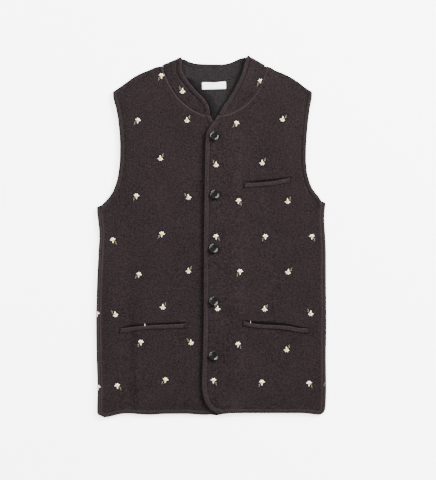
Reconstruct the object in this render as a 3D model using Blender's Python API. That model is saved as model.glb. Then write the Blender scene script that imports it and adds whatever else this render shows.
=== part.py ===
"""A buttoned gilet in boiled wool, lying flat on its back panel.

Tables are in millimetres. x runs to the right of the middle, and height runs up from the hem.
The finished model is in metres, with +Y towards the collar and +Z away from the table.
"""
import math
from bisect import bisect_right
from collections import namedtuple

import bmesh
import bpy
from mathutils import Vector
from mathutils.bvhtree import BVHTree

MM = 0.001
UP = Vector((0, 0, 1))

# Cloth and its layers
CLOTH = 2.2
TURNED_EXTRA = 0.5
TURNED_WIDTH = 8.0
TURNED_FADE = 3.5
SEAM_GAP = 0.35
AIR = 1.35
LEAST_AIR = 0.4
SIDE_AIR = 1.6
SIDE_EASE = 22.0
ARMHOLE_AIR = 0.8
ARMHOLE_EASE = 30.0
HEM_AIR_SHARE = 0.5
HEM_DROP = 6.0
HEM_EASE = 36.0
SHOULDER_EASE = 34.0
LAP_LIFT = 3.1
LAP_START = 2.0
LAP_FADE = 18.0
LAP_AIR_SHARE = 0.5
LAP_FLAT = 20.0
LAP_EASE = 30.0
LEAST_STEP = 14.0
LAP_LOWEST = 42.0
LAP_HIGHEST = 572.0

# Main places, in millimetres
MIDDLE_HEIGHT = 355.5
SEAM_INSET = 6.0
CENTRE_FRONT = 7.5
LEFT_UNDERARM = 410.0
RIGHT_UNDERARM = 418.0
SHOULDER_TIP = 644.0
COLLAR_TIP = 597.0
BACK_INSET = 0.7

# Neck
NECK_X = 5.0
NECK_HEIGHT = 672.0
NECK_HALF_WIDTH = 101.0
NECK_HALF_HEIGHT = 76.0
NECK_RISE = 0.9
NECK_RING = 0.95
NECK_RING_FADE = 0.45
FOLD_LOW = 1.3
FOLD_HIGH = 2.9
FOLD_STEPS = 6

# Small pieces
BUTTON_SEGMENTS = 24
WELT = 1.4
LABEL = 0.6

Outline = namedtuple("Outline", "height left right")
SIDES = [
    Outline(0, -226.0, 221.5),
    Outline(4, -228.3, 225.4),
    Outline(8, -228.4, 227.4),
    Outline(14, -228.3, 228.8),
    Outline(52, -227.6, 230.1),
    Outline(116, -229.5, 229.5),
    Outline(180, -230.3, 230.5),
    Outline(260, -228.5, 229.7),
    Outline(324, -225.5, 229.5),
    Outline(356, -223.8, 228.1),
    Outline(388, -226.3, 226.2),
    Outline(404, -228.3, 226.8),
    Outline(418, -228.5, 228.4),
]

Edge = namedtuple("Edge", "height x")
ARMHOLE_LEFT = [
    Edge(410, -222.3), Edge(414, -220.8), Edge(420, -216.6), Edge(428, -209.0),
    Edge(436, -202.1), Edge(444, -197.2), Edge(452, -193.5), Edge(468, -188.3),
    Edge(484, -185.4), Edge(508, -182.7), Edge(532, -182.3), Edge(556, -183.2),
    Edge(580, -185.3), Edge(612, -190.7), Edge(636, -196.4), Edge(644, -196.5),
]
ARMHOLE_RIGHT = [
    Edge(418, 222.3), Edge(423, 221.0), Edge(428, 218.8), Edge(436, 213.6),
    Edge(444, 206.8), Edge(452, 201.5), Edge(468, 195.3), Edge(484, 191.4),
    Edge(508, 189.5), Edge(532, 189.7), Edge(556, 191.2), Edge(580, 193.3),
    Edge(612, 197.3), Edge(636, 201.4), Edge(644, 201.5),
]
# Front edge of the panel on top, from the round hem corner to the tip of the collar
FRONT_EDGE = [
    Edge(0, 17.5), Edge(4, 7.5), Edge(8, 1.5), Edge(14, -4.5),
    Edge(21, -9.5), Edge(30, -13.5), Edge(42, -16.5), Edge(58, -18.4),
    Edge(78, -17.9), Edge(148, -15.7), Edge(235, -14.7), Edge(325, -14.7),
    Edge(428, -13.5), Edge(532, -11.9), Edge(548, -11.4), Edge(556, -10.5),
    Edge(564, -8.5), Edge(572, -4.5), Edge(580, 1.5), Edge(586, 6.4),
    Edge(592, 10.4), Edge(597, 13.4),
]
# The lower panel's edge near the neck; below this it mirrors the edge on top
NECK_EDGE = [
    Edge(556, 24.6), Edge(564, 21.6), Edge(572, 16.6), Edge(580, 9.6),
    Edge(586, 4.0), Edge(592, -0.3), Edge(597, -2.4),
]

Hem = namedtuple("Hem", "x height")
FRONT_HEM = [
    Hem(-230, 0.0), Hem(-224, -2.0), Hem(-212, -6.4), Hem(-198, -3.7),
    Hem(-182, 0.0), Hem(-168, 1.2), Hem(-122, -1.2), Hem(-92, 0.4),
    Hem(-52, 0.6), Hem(-12, -1.6), Hem(8, 0.0), Hem(28, 0.6),
    Hem(42, 2.0), Hem(178, 2.0), Hem(202, 0.0), Hem(214, -1.2),
    Hem(222, 0.0), Hem(230, 0.0),
]
HEM_REACH = 60.0
BACK_HEM_UP = 0.8
BACK_HEM_FLAT = 196.0
BACK_HEM_FADE = 16.0
BACK_HEM_PEEP = 3.6
BACK_HEM_PEEP_X = 11.0
BACK_HEM_PEEP_WIDTH = 13.0

SHOULDER = [
    Edge(644, -196.5), Edge(652, -185.0), Edge(664, -168.0), Edge(676, -151.0),
    Edge(688, -124.0), Edge(694, -108.0), Edge(695.4, -97.2),
]
SHOULDER_RIGHT = [
    Edge(695.0, 107.6), Edge(694, 115.7), Edge(688, 126.7), Edge(676, 154.0),
    Edge(664, 173.5), Edge(652, 189.0), Edge(644, 201.5),
]

# Collar sections from the tip to the fold: free edge, neck seam, lift of the edge
Band = namedtuple("Band", "edge_x edge_height seam_x seam_height lift")
COLLAR_LEFT = [
    Band(-2.5, 598.6, -6.0, 597.5, 0.0),
    Band(-3.2, 604.6, -17.0, 600.2, 0.2),
    Band(-4.5, 612.0, -28.5, 604.0, 0.4),
    Band(-8.5, 622.0, -34.5, 607.2, 0.8),
    Band(-14.5, 630.0, -39.5, 610.4, 1.1),
    Band(-22.5, 638.0, -46.5, 615.2, 1.4),
    Band(-30.5, 646.0, -55.5, 623.0, 1.7),
    Band(-40.5, 658.0, -67.0, 634.0, 2.0),
    Band(-48.5, 668.0, -76.5, 648.6, 2.3),
    Band(-55.0, 678.0, -84.5, 663.0, 2.6),
    Band(-60.0, 692.0, -92.3, 681.0, 3.0),
]
COLLAR_RIGHT = [
    Band(14.3, 598.6, 17.8, 597.5, 0.0),
    Band(17.6, 603.6, 27.4, 599.0, 0.2),
    Band(21.5, 610.0, 38.0, 601.2, 0.4),
    Band(27.5, 620.0, 49.0, 606.8, 0.8),
    Band(33.5, 628.0, 57.5, 612.0, 1.1),
    Band(39.5, 638.0, 67.5, 619.2, 1.4),
    Band(47.0, 650.0, 80.0, 631.0, 1.7),
    Band(53.5, 664.0, 91.0, 646.5, 2.0),
    Band(59.5, 676.0, 98.8, 661.0, 2.3),
    Band(63.5, 688.0, 104.2, 676.0, 2.6),
    Band(67.3, 702.0, 107.2, 687.5, 3.0),
]
# Where the band folds over at each shoulder, on the outline of the flat garment
FOLD_LEFT = Band(-60.2, 713.8, -97.5, 698.0, 0.0)
FOLD_RIGHT = Band(73.1, 717.4, 108.1, 697.4, 0.0)
# Behind the neck the band lies with its outside down
COLLAR_BACK = [
    Band(-52.5, 708.6, -82.5, 685.0, 0.0),
    Band(-42.5, 704.0, -62.5, 675.5, 0.0),
    Band(-31.5, 701.0, -43.0, 669.8, 0.0),
    Band(-16.0, 699.9, -20.0, 667.0, 0.0),
    Band(3.5, 699.3, 4.5, 666.0, 0.0),
    Band(22.0, 699.3, 29.5, 667.0, 0.0),
    Band(36.5, 702.0, 51.0, 671.0, 0.0),
    Band(48.0, 706.6, 69.0, 677.5, 0.0),
    Band(58.0, 711.2, 86.0, 685.6, 0.0),
]

# Soft folds in the fronts: a trough or a ridge running from one height to another
Fold = namedtuple("Fold", "low_x low_height high_x high_height width depth")
FOLDS = [
    Fold(-176, 20, -168, 400, 17, -0.9),
    Fold(-206, 60, -204, 330, 12, 0.5),
    Fold(-120, 120, -108, 520, 30, 0.5),
    Fold(-60, 40, -66, 420, 20, -0.4),
    Fold(-150, 430, -120, 610, 20, 0.5),
    Fold(70, 60, 62, 420, 24, 0.5),
    Fold(128, 30, 120, 380, 22, -0.6),
    Fold(190, 60, 196, 380, 16, 0.5),
    Fold(172, 400, 140, 600, 22, 0.5),
    Fold(92, 330, 100, 560, 20, -0.4),
]
FOLD_END = 70.0

# Welts from end to end: x, upper edge, lower edge
Welt = namedtuple("Welt", "x top bottom")
CHEST_WELT = [
    Welt(64.9, 463.0, 451.4), Welt(78.0, 462.0, 452.0), Welt(94.0, 462.6, 453.4),
    Welt(108.0, 463.8, 455.0), Welt(124.0, 465.4, 456.6), Welt(140.0, 468.4, 459.4),
    Welt(157.0, 472.6, 461.8),
]
RIGHT_WELT = [
    Welt(-183.0, 171.4, 161.4), Welt(-168.0, 173.6, 163.0), Welt(-150.0, 176.0, 166.4),
    Welt(-132.0, 177.8, 169.0), Welt(-112.0, 179.2, 169.8), Welt(-86.0, 180.0, 170.2),
    Welt(-66.0, 180.8, 170.8), Welt(-49.0, 181.8, 171.4),
]
LEFT_WELT = [
    Welt(63.0, 187.4, 176.6), Welt(78.0, 182.4, 173.4), Welt(96.0, 179.4, 171.2),
    Welt(118.0, 178.2, 170.0), Welt(140.0, 177.4, 168.8), Welt(158.0, 175.6, 166.0),
    Welt(178.0, 171.8, 162.4), Welt(195.0, 171.2, 161.0),
]

Place = namedtuple("Place", "x height")
BUTTONS = [
    Place(7.1, 555.4), Place(7.9, 439.2), Place(5.3, 331.0), Place(5.7, 225.6), Place(5.3, 116.8),
]
Ring = namedtuple("Ring", "radius height")
BUTTON_PROFILE = [
    Ring(0.0, 0.0), Ring(3.2, 0.0), Ring(3.2, 0.9), Ring(8.0, 0.9), Ring(9.2, 1.5),
    Ring(9.5, 2.5), Ring(9.0, 3.7), Ring(8.1, 4.1), Ring(7.1, 3.8), Ring(6.2, 3.0),
    Ring(0.0, 2.7),
]
LABEL_LEFT = Place(-18.4, 655.9)
LABEL_RIGHT = Place(29.6, 657.3)
LABEL_HALF_HEIGHT = 7.4
LABEL_DIP = 1.0
LABEL_COLUMNS = 5

OUTSIDE = (0.040, 0.028, 0.030)
COLLAR_CLOTH = (0.043, 0.031, 0.033)
INSIDE = (0.048, 0.044, 0.046)
BUTTON_COLOUR = (0.020, 0.017, 0.017)
LABEL_COLOUR = (0.80, 0.80, 0.79)


def clear_scene():
    for item in list(bpy.data.objects):
        bpy.data.objects.remove(item, do_unlink=True)


def make_material(name, colour, roughness):
    material = bpy.data.materials.new(name)
    material.use_nodes = True
    shader = material.node_tree.nodes["Principled BSDF"]
    shader.inputs["Base Color"].default_value = (*colour, 1.0)
    shader.inputs["Roughness"].default_value = roughness
    shader.inputs["Metallic"].default_value = 0.0
    return material


def smooth(value):
    """Ease from 0 to 1 as value goes from 0 to 1."""
    held = min(1.0, max(0.0, value))
    return held * held * (3.0 - 2.0 * held)


def mix(start, end, share):
    return start + (end - start) * share


def through(stations, values):
    """A smooth curve through table values that never swings past them."""
    count = len(stations)
    steps = [stations[i + 1] - stations[i] for i in range(count - 1)]
    slopes = [(values[i + 1] - values[i]) / steps[i] for i in range(count - 1)]
    tangents = [slopes[0]]
    for i in range(1, count - 1):
        before, after = slopes[i - 1], slopes[i]
        if before * after <= 0.0:
            tangents.append(0.0)
        else:
            tangents.append(2.0 * before * after / (before + after))
    tangents.append(slopes[-1])

    def curve(station):
        held = min(stations[-1], max(stations[0], station))
        i = min(count - 2, bisect_right(stations, held) - 1)
        t = (held - stations[i]) / steps[i]
        rise = values[i + 1] - values[i]
        bend_start = tangents[i] * steps[i]
        bend_end = tangents[i + 1] * steps[i]
        return (values[i] + t * bend_start + t * t * (3 * rise - 2 * bend_start - bend_end)
                + t ** 3 * (bend_start + bend_end - 2 * rise))

    return curve


def edge_curve(table):
    return through([row.height for row in table], [row.x for row in table])


side_left = through([row.height for row in SIDES], [row.left for row in SIDES])
side_right = through([row.height for row in SIDES], [row.right for row in SIDES])
armhole_left = edge_curve(ARMHOLE_LEFT)
armhole_right = edge_curve(ARMHOLE_RIGHT)
front_edge = edge_curve(FRONT_EDGE)
neck_edge = edge_curve(NECK_EDGE)
front_hem = through([row.x for row in FRONT_HEM], [row.height for row in FRONT_HEM])
shoulder_left = through([row.x for row in SHOULDER], [row.height for row in SHOULDER])
shoulder_right = through([row.x for row in SHOULDER_RIGHT], [row.height for row in SHOULDER_RIGHT])


def under_edge(height):
    """Edge of the front that runs on underneath."""
    if height >= NECK_EDGE[0].height:
        return neck_edge(height)
    return 2.0 * CENTRE_FRONT - front_edge(height)


def outer_left(height):
    """Where the front on the left of the picture ends: side seam, then armhole."""
    if height <= LEFT_UNDERARM:
        return side_left(height) + SEAM_INSET
    return armhole_left(height)


def outer_right(height):
    if height <= RIGHT_UNDERARM:
        return side_right(height) - SEAM_INSET
    return armhole_right(height)


def hem_offset(x, height):
    return front_hem(x) * (1.0 - smooth(height / HEM_REACH))


def fold_height(x, height):
    """Sum of the soft folds at one place."""
    total = 0.0
    for fold in FOLDS:
        along = (height - fold.low_height) / (fold.high_height - fold.low_height)
        centre = fold.low_x + (fold.high_x - fold.low_x) * along
        inside = smooth((height - fold.low_height + FOLD_END) / FOLD_END)
        inside *= smooth((fold.high_height + FOLD_END - height) / FOLD_END)
        total += inside * fold.depth * math.exp(-((x - centre) / fold.width) ** 2)
    return total


def shoulder_height(x):
    return shoulder_left(x) if x < 0 else shoulder_right(x)


def air_below(x, height):
    """Clear space between the back and the front that lies on it."""
    air = AIR + fold_height(x, height)
    reach = outer_left(height) if x < 0 else outer_right(height)
    from_side = abs(reach) - abs(x)
    underarm = LEFT_UNDERARM if x < 0 else RIGHT_UNDERARM
    if height <= underarm:
        edge_air = SIDE_AIR
    else:
        edge_air = mix(SIDE_AIR, ARMHOLE_AIR, smooth((height - underarm) / ARMHOLE_EASE))
    air = mix(edge_air, air, smooth(from_side / SIDE_EASE))
    air *= mix(LAP_AIR_SHARE, 1.0, smooth((abs(x - CENTRE_FRONT) - LAP_FLAT) / LAP_EASE))
    air *= mix(HEM_AIR_SHARE, 1.0, smooth((height + HEM_DROP) / HEM_EASE))
    ring = math.hypot((x - NECK_X) / NECK_HALF_WIDTH, (height - NECK_HEIGHT) / NECK_HALF_HEIGHT)
    air += NECK_RISE * (1.0 - smooth((ring - NECK_RING) / NECK_RING_FADE))
    air = mix(LEAST_AIR, air, smooth((shoulder_height(x) - height) / SHOULDER_EASE))
    return max(LEAST_AIR, air)


def lower_front_middle(x, height):
    return CLOTH * 1.5 + air_below(x, height)


def upper_front_middle(x, height):
    """The same, lifted where it lies on the other front."""
    past = x - under_edge(min(LAP_HIGHEST, max(LAP_LOWEST, height)))
    lap = 1.0 - smooth((past - LAP_START) / LAP_FADE)
    return lower_front_middle(x, height) + LAP_LIFT * lap


def turned(distance):
    """Extra thickness where the edge is turned in and stitched down."""
    return TURNED_EXTRA * (1.0 - smooth((distance - TURNED_WIDTH) / TURNED_FADE))


def make_object(name, mesh_builder, material):
    mesh = bpy.data.meshes.new(name)
    bmesh.ops.recalc_face_normals(mesh_builder, faces=mesh_builder.faces[:])
    mesh_builder.to_mesh(mesh)
    mesh_builder.free()
    mesh.materials.append(material)
    item = bpy.data.objects.new(name, mesh)
    bpy.context.scene.collection.objects.link(item)
    return item


def to_model(point):
    return Vector((point.x, point.y - MIDDLE_HEIGHT, point.z)) * MM


def wall(name, rows, normals, thickness, material, extra=None):
    """A closed wall of cloth round a grid of middle points.

    normals gives, for each row, one direction or one for each point, and extra gives what is
    added on that side.
    """
    builder = bmesh.new()
    height, width = len(rows), len(rows[0])
    faces_out, faces_in = [], []
    for i in range(height):
        out_row, in_row = [], []
        for j in range(width):
            normal = normals[i] if isinstance(normals[i], Vector) else normals[i][j]
            more = extra[i][j] if extra else 0.0
            out_row.append(builder.verts.new(to_model(rows[i][j] + normal * (thickness / 2 + more))))
            in_row.append(builder.verts.new(to_model(rows[i][j] - normal * thickness / 2)))
        faces_out.append(out_row)
        faces_in.append(in_row)
    for i in range(height - 1):
        for j in range(width - 1):
            builder.faces.new((faces_out[i][j], faces_out[i][j + 1],
                               faces_out[i + 1][j + 1], faces_out[i + 1][j]))
            builder.faces.new((faces_in[i][j], faces_in[i + 1][j],
                               faces_in[i + 1][j + 1], faces_in[i][j + 1]))
    for i in range(height - 1):
        for j in (0, width - 1):
            builder.faces.new((faces_out[i][j], faces_out[i + 1][j],
                               faces_in[i + 1][j], faces_in[i][j]))
    for j in range(width - 1):
        for i in (0, height - 1):
            builder.faces.new((faces_out[i][j], faces_in[i][j],
                               faces_in[i][j + 1], faces_out[i][j + 1]))
    return make_object(name, builder, material)


def flat_pairs(bands):
    """Free edge and seam of each section, as seen from above."""
    return [(Vector((band.edge_x, band.edge_height, 0)), Vector((band.seam_x, band.seam_height, 0)))
            for band in bands]


def seam_line(pairs):
    """The neck seam's points, moved off the collar by the clear space at a seam."""
    points = []
    for k, (free, seam) in enumerate(pairs):
        run = pairs[min(k + 1, len(pairs) - 1)][1] - pairs[max(k - 1, 0)][1]
        away = Vector((run.y, -run.x, 0)).normalized()
        if away.dot(seam - free) < 0:
            away = -away
        points.append(seam + away * SEAM_GAP)
    return points


def front_rows(heights, outer, inner, collar, fold, side):
    """Ends of each row of a front panel, up to the shoulder."""
    ends = [(Vector((outer(h), h, 0)), Vector((inner(h), h, 0))) for h in heights]
    free, seam, facing = fold_sections(fold, side)[0]
    pairs = flat_pairs(collar) + [(free.xy.to_3d(), seam.xy.to_3d())]
    for k, point in enumerate(seam_line(pairs), start=1):
        height = COLLAR_TIP + (SHOULDER_TIP - COLLAR_TIP) * k / len(pairs)
        ends.append((Vector((outer(height), height, 0)), point))
    return ends


def lower_columns(height):
    """How far in from its front edge the lower panel's first columns stand."""
    return (0.0, TURNED_WIDTH, TURNED_WIDTH + TURNED_FADE)


def upper_columns(height):
    """The same on the panel on top, with columns where it steps down off the other."""
    held = min(LAP_HIGHEST, max(LAP_LOWEST, height))
    step = max(LEAST_STEP, under_edge(held) + LAP_START - front_edge(height))
    flat = TURNED_WIDTH + TURNED_FADE
    return (0.0, TURNED_WIDTH, flat, (flat + step) / 2, step, step + LAP_FADE / 2, step + LAP_FADE)


def spread(ends, near_inner):
    """Shares along a row: close to both edges first, then evenly between them."""
    start, end = ends
    length = (end - start).length
    squeeze = min(1.0, EDGE_SHARE * length / max(NEAR_OUTER[-1], near_inner[-1]))
    shares = [step * squeeze / length for step in NEAR_OUTER]
    tail = [1.0 - step * squeeze / length for step in reversed(near_inner)]
    gap = tail[0] - shares[-1]
    between = [shares[-1] + gap * k / (BETWEEN + 1) for k in range(1, BETWEEN + 1)]
    return shares + between + tail


HEM_HEIGHTS = [0, 4, 8, 14, 21, 30, 42, 58, 78]
SIDE_HEIGHTS = [104, 146, 190, 240, 290, 340, 384, 404, 410, 414]
CHEST_HEIGHTS = [428, 436, 444, 452, 468, 484, 508, 532, 548, 556, 564, 572, 580, 586, 592, 597]
LEFT_HEIGHTS = HEM_HEIGHTS + SIDE_HEIGHTS + [420] + CHEST_HEIGHTS
RIGHT_HEIGHTS = HEM_HEIGHTS + SIDE_HEIGHTS + [418, 423] + CHEST_HEIGHTS
NEAR_OUTER = (0.0, 4.0, 9.0, 16.0)
EDGE_SHARE = 0.42
BETWEEN = 7


def make_front(name, side, material):
    heights = LEFT_HEIGHTS if side < 0 else RIGHT_HEIGHTS
    outer = outer_left if side < 0 else outer_right
    inner = under_edge if side < 0 else front_edge
    collar = COLLAR_LEFT if side < 0 else COLLAR_RIGHT
    fold = FOLD_LEFT if side < 0 else FOLD_RIGHT
    columns = lower_columns if side < 0 else upper_columns
    middle = lower_front_middle if side < 0 else upper_front_middle
    rows, extra = [], []
    body = len(heights) - 1
    ends_list = front_rows(heights, outer, inner, collar, fold, side)
    for i, ends in enumerate(ends_list):
        start, end = ends
        height = heights[min(i, body)]
        rise = max(0.0, (i - body) / (len(ends_list) - 1 - body))
        length = (end - start).length
        row, more = [], []
        for share in spread(ends, columns(height)):
            place = start.lerp(end, share)
            top = ends_list[-1][0].lerp(ends_list[-1][1], share)
            place.y += rise * (shoulder_height(top.x) - top.y)
            place.y += hem_offset(place.x, place.y)
            place.z = middle(place.x, place.y)
            row.append(place)
            to_front = length * (1.0 - share) if i <= body else TURNED_WIDTH + TURNED_FADE
            to_edge = min(to_front, height)
            if height > LEFT_UNDERARM:
                to_edge = min(to_edge, length * share)
            more.append(turned(to_edge))
        if start.x > end.x:
            row.reverse()
            more.reverse()
        rows.append(row)
        extra.append(more)
    return wall(name, rows, [UP] * len(rows), CLOTH, material, extra)


def rolled(side, along, turn):
    """Place and inward direction along the back: flat, round the fold, back over the top."""
    radius = (CLOTH + SIDE_AIR) / 2
    bend = math.pi * radius
    if along <= turn:
        return side * along, CLOTH / 2, UP
    if along <= turn + bend:
        angle = (along - turn) / radius
        inward = Vector((-side * math.sin(angle), 0, math.cos(angle)))
        return side * turn - inward.x * radius, CLOTH / 2 + radius * (1 - inward.z), inward
    return side * (turn - (along - turn - bend)), CLOTH / 2 + 2 * radius, -UP


BACK_HEIGHTS = [0, 4, 8, 14, 30, 58] + SIDE_HEIGHTS + [418, 423, 428, 436, 444, 452, 468, 484,
                                                      508, 532, 560, 597]
BACK_OFFSETS = (0.0, 2.0, 3.3, 4.7, 6.1, 7.5, 8.9, 12.0, 22.0)
BACK_TOP_STEPS = 5
UNDERARM_TURN = 10.0
SHOULDER_COLUMNS = 3


def back_reach(side, height):
    """Length of cloth from the middle to the back's edge, and where its fold starts."""
    radius = (CLOTH + SIDE_AIR) / 2
    outline = side_left if side < 0 else side_right
    armhole = armhole_left if side < 0 else armhole_right
    underarm = LEFT_UNDERARM if side < 0 else RIGHT_UNDERARM
    turn = abs(outline(min(height, underarm))) - radius - CLOTH / 2
    folded = turn + math.pi * radius + SEAM_INSET - SEAM_GAP - radius - CLOTH / 2
    if height <= underarm:
        return folded, turn
    flat = abs(armhole(height)) - BACK_INSET
    return mix(folded, flat, smooth((height - underarm) / UNDERARM_TURN)), turn


def back_hem(x, height):
    peep = BACK_HEM_PEEP * math.exp(-((x - BACK_HEM_PEEP_X) / BACK_HEM_PEEP_WIDTH) ** 2)
    up = BACK_HEM_UP * (1.0 - smooth((abs(x) - BACK_HEM_FLAT) / BACK_HEM_FADE))
    return (front_hem(x) + up - peep) * (1.0 - smooth(height / HEM_REACH))


def back_top_points():
    """The back's upper edge: shoulder, neck seam, shoulder."""
    points = []
    first, last = SHOULDER[0], SHOULDER_RIGHT[-1]
    neck_left = Vector((SHOULDER[-1].x, SHOULDER[-1].height - BACK_INSET, 0))
    neck_right = Vector((SHOULDER_RIGHT[0].x, SHOULDER_RIGHT[0].height - BACK_INSET, 0))
    start = first.x + BACK_INSET
    end = last.x - BACK_INSET
    columns_left = [start + step for step in BACK_OFFSETS]
    columns_right = [end - step for step in reversed(BACK_OFFSETS)]
    for x in columns_left:
        points.append(Vector((x, shoulder_left(x) - BACK_INSET, 0)))
    for k in range(1, SHOULDER_COLUMNS):
        x = columns_left[-1] + (neck_left.x - columns_left[-1]) * k / SHOULDER_COLUMNS
        points.append(Vector((x, shoulder_left(x) - BACK_INSET, 0)))
    points.append(neck_left)
    points += seam_line(flat_pairs(COLLAR_BACK))
    points.append(neck_right)
    for k in range(1, SHOULDER_COLUMNS):
        x = neck_right.x + (columns_right[0] - neck_right.x) * k / SHOULDER_COLUMNS
        points.append(Vector((x, shoulder_right(x) - BACK_INSET, 0)))
    for x in columns_right:
        points.append(Vector((x, shoulder_right(x) - BACK_INSET, 0)))
    return points


def make_back(material):
    top = back_top_points()
    edges = len(BACK_OFFSETS)
    inner = top[edges - 1:len(top) - edges + 1]
    shares = [(point.x - inner[0].x) / (inner[-1].x - inner[0].x) for point in inner[1:-1]]
    rows, normals = [], []
    for height in BACK_HEIGHTS:
        row = []
        reach, turn = back_reach(-1, height)
        left = [rolled(-1, reach - step, turn) for step in BACK_OFFSETS]
        reach, turn = back_reach(1, height)
        right = [rolled(1, reach - step, turn) for step in reversed(BACK_OFFSETS)]
        width = right[0][0] - left[-1][0]
        middle = [(left[-1][0] + width * share, CLOTH / 2, UP) for share in shares]
        for x, z, inward in left + middle + right:
            row.append(Vector((x, height + back_hem(x, height), z)))
        rows.append(row)
        normals.append([inward for x, z, inward in left + middle + right])
    base = rows[-1]
    for k in range(1, BACK_TOP_STEPS + 1):
        share = k / BACK_TOP_STEPS
        rows.append([low.lerp(Vector((high.x, high.y, CLOTH / 2)), share)
                     for low, high in zip(base, top)])
        normals.append(UP)
    return wall("back", rows, normals, CLOTH, material)


def fold_sections(fold, side):
    """Sections of the collar where it rolls over a shoulder, from the top layer down."""
    free = Vector((fold.edge_x, fold.edge_height, 0))
    seam = Vector((fold.seam_x, fold.seam_height, 0))
    along = (free - seam).normalized()
    outward = Vector((-along.y, along.x, 0)) * (-side)
    sections = []
    for k in range(FOLD_STEPS):
        angle = math.pi / 2 - math.pi * k / (FOLD_STEPS - 1)
        pair = []
        for end, radius in ((free, FOLD_HIGH), (seam, FOLD_LOW)):
            axis = end - outward * (radius + CLOTH / 2)
            point = axis + outward * radius * math.cos(angle)
            point.z = CLOTH / 2 + radius * (1.0 + math.sin(angle))
            pair.append(point)
        facing = outward * math.cos(angle) + UP * math.sin(angle)
        sections.append((pair[0], pair[1], facing))
    return sections


def band_sections(table, middle):
    sections = []
    for band in table:
        seam_z = middle(band.seam_x, band.seam_height)
        free = Vector((band.edge_x, band.edge_height, seam_z + band.lift))
        sections.append((free, Vector((band.seam_x, band.seam_height, seam_z)), UP))
    return sections


def back_sections():
    sections = []
    for band in COLLAR_BACK:
        free = Vector((band.edge_x, band.edge_height, CLOTH / 2))
        sections.append((free, Vector((band.seam_x, band.seam_height, CLOTH / 2)), -UP))
    return sections


def make_collar(material):
    """One strip round the neck, from tip to tip."""
    sections = band_sections(COLLAR_LEFT, lower_front_middle)
    left_end = len(sections)
    sections += fold_sections(FOLD_LEFT, -1)
    sections += back_sections()
    sections += list(reversed(fold_sections(FOLD_RIGHT, 1)))
    right_start = len(sections)
    sections += list(reversed(band_sections(COLLAR_RIGHT, upper_front_middle)))
    rows, extra = [], []
    for number, (free, seam, facing) in enumerate(sections):
        on_top = number <= left_end or number >= right_start - 1
        width = (seam - free).length
        steps = [0.0, min(TURNED_WIDTH, width * 0.3), min(TURNED_WIDTH + TURNED_FADE, width * 0.45),
                 width * 0.72, width]
        rows.append([seam.lerp(free, 1.0 - step / width) for step in reversed(steps)])
        wide = on_top and width > TURNED_WIDTH * 2
        extra.append([turned(step) if wide else 0.0 for step in reversed(steps)])
    normals = [facing for free, seam, facing in sections]
    return wall("collar", rows, normals, CLOTH, material, extra)


def surface_of(item):
    """Looks straight down on a piece and gives the height of its upper face."""
    depsgraph = bpy.context.evaluated_depsgraph_get()
    tree = BVHTree.FromObject(item, depsgraph)

    def height_at(x, height):
        start = to_model(Vector((x, height, 100.0)))
        hit = tree.ray_cast(start, Vector((0, 0, -1)))
        return hit[0].z / MM

    return height_at


def make_welt(name, table, surface, material):
    rows = []
    for share in (0.0, 0.5, 1.0):
        row = []
        for welt in table:
            height = welt.bottom + (welt.top - welt.bottom) * share
            z = surface(welt.x, height) + SEAM_GAP + WELT / 2
            row.append(Vector((welt.x, height, z)))
        rows.append(row)
    return wall(name, rows, [UP] * len(rows), WELT, material)


def make_button(name, place, surface, material):
    foot = BUTTON_PROFILE[1].radius
    spots = [(0, 0), (foot, 0), (-foot, 0), (0, foot), (0, -foot)]
    seat = max(surface(place.x + dx, place.height + dy) for dx, dy in spots) + SEAM_GAP
    builder = bmesh.new()
    profile = [builder.verts.new(Vector((ring.radius, 0, ring.height))) for ring in BUTTON_PROFILE]
    edges = [builder.edges.new(pair) for pair in zip(profile[:-1], profile[1:])]
    bmesh.ops.spin(builder, geom=profile + edges, cent=(0, 0, 0), axis=(0, 0, 1),
                   angle=2 * math.pi, steps=BUTTON_SEGMENTS, use_merge=True)
    bmesh.ops.remove_doubles(builder, verts=builder.verts[:], dist=0.01)
    for vert in builder.verts:
        vert.co = to_model(vert.co + Vector((place.x, place.height, seat)))
    item = make_object(name, builder, material)
    item.data.shade_smooth()
    item.data.set_sharp_from_angle(angle=math.radians(40))
    return item


def make_label(material):
    rows = []
    for share in (-1.0, 0.0, 1.0):
        row = []
        for k in range(LABEL_COLUMNS):
            along = k / (LABEL_COLUMNS - 1)
            x = mix(LABEL_LEFT.x, LABEL_RIGHT.x, along)
            height = mix(LABEL_LEFT.height, LABEL_RIGHT.height, along)
            dip = LABEL_DIP * max(0.0, share) * math.sin(math.pi * along)
            row.append(Vector((x, height + share * LABEL_HALF_HEIGHT - dip,
                               CLOTH + SEAM_GAP + LABEL / 2)))
        rows.append(row)
    return wall("label", rows, [UP] * len(rows), LABEL, material)


def main():
    clear_scene()
    cloth = make_material("wool outside", OUTSIDE, 0.95)
    collar_cloth = make_material("collar wool", COLLAR_CLOTH, 0.95)
    inside = make_material("wool inside", INSIDE, 0.95)
    gloss = make_material("button resin", BUTTON_COLOUR, 0.25)
    tape = make_material("label tape", LABEL_COLOUR, 0.7)
    make_back(inside)
    lower = make_front("right_front", -1, cloth)
    upper = make_front("left_front", 1, cloth)
    make_collar(collar_cloth)
    on_lower = surface_of(lower)
    on_upper = surface_of(upper)
    make_welt("chest_welt", CHEST_WELT, on_upper, cloth)
    make_welt("right_welt", RIGHT_WELT, on_lower, cloth)
    make_welt("left_welt", LEFT_WELT, on_upper, cloth)
    for number, place in enumerate(BUTTONS, start=1):
        make_button("button_%d" % number, place, on_upper, gloss)
    make_label(tape)


main()
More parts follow.
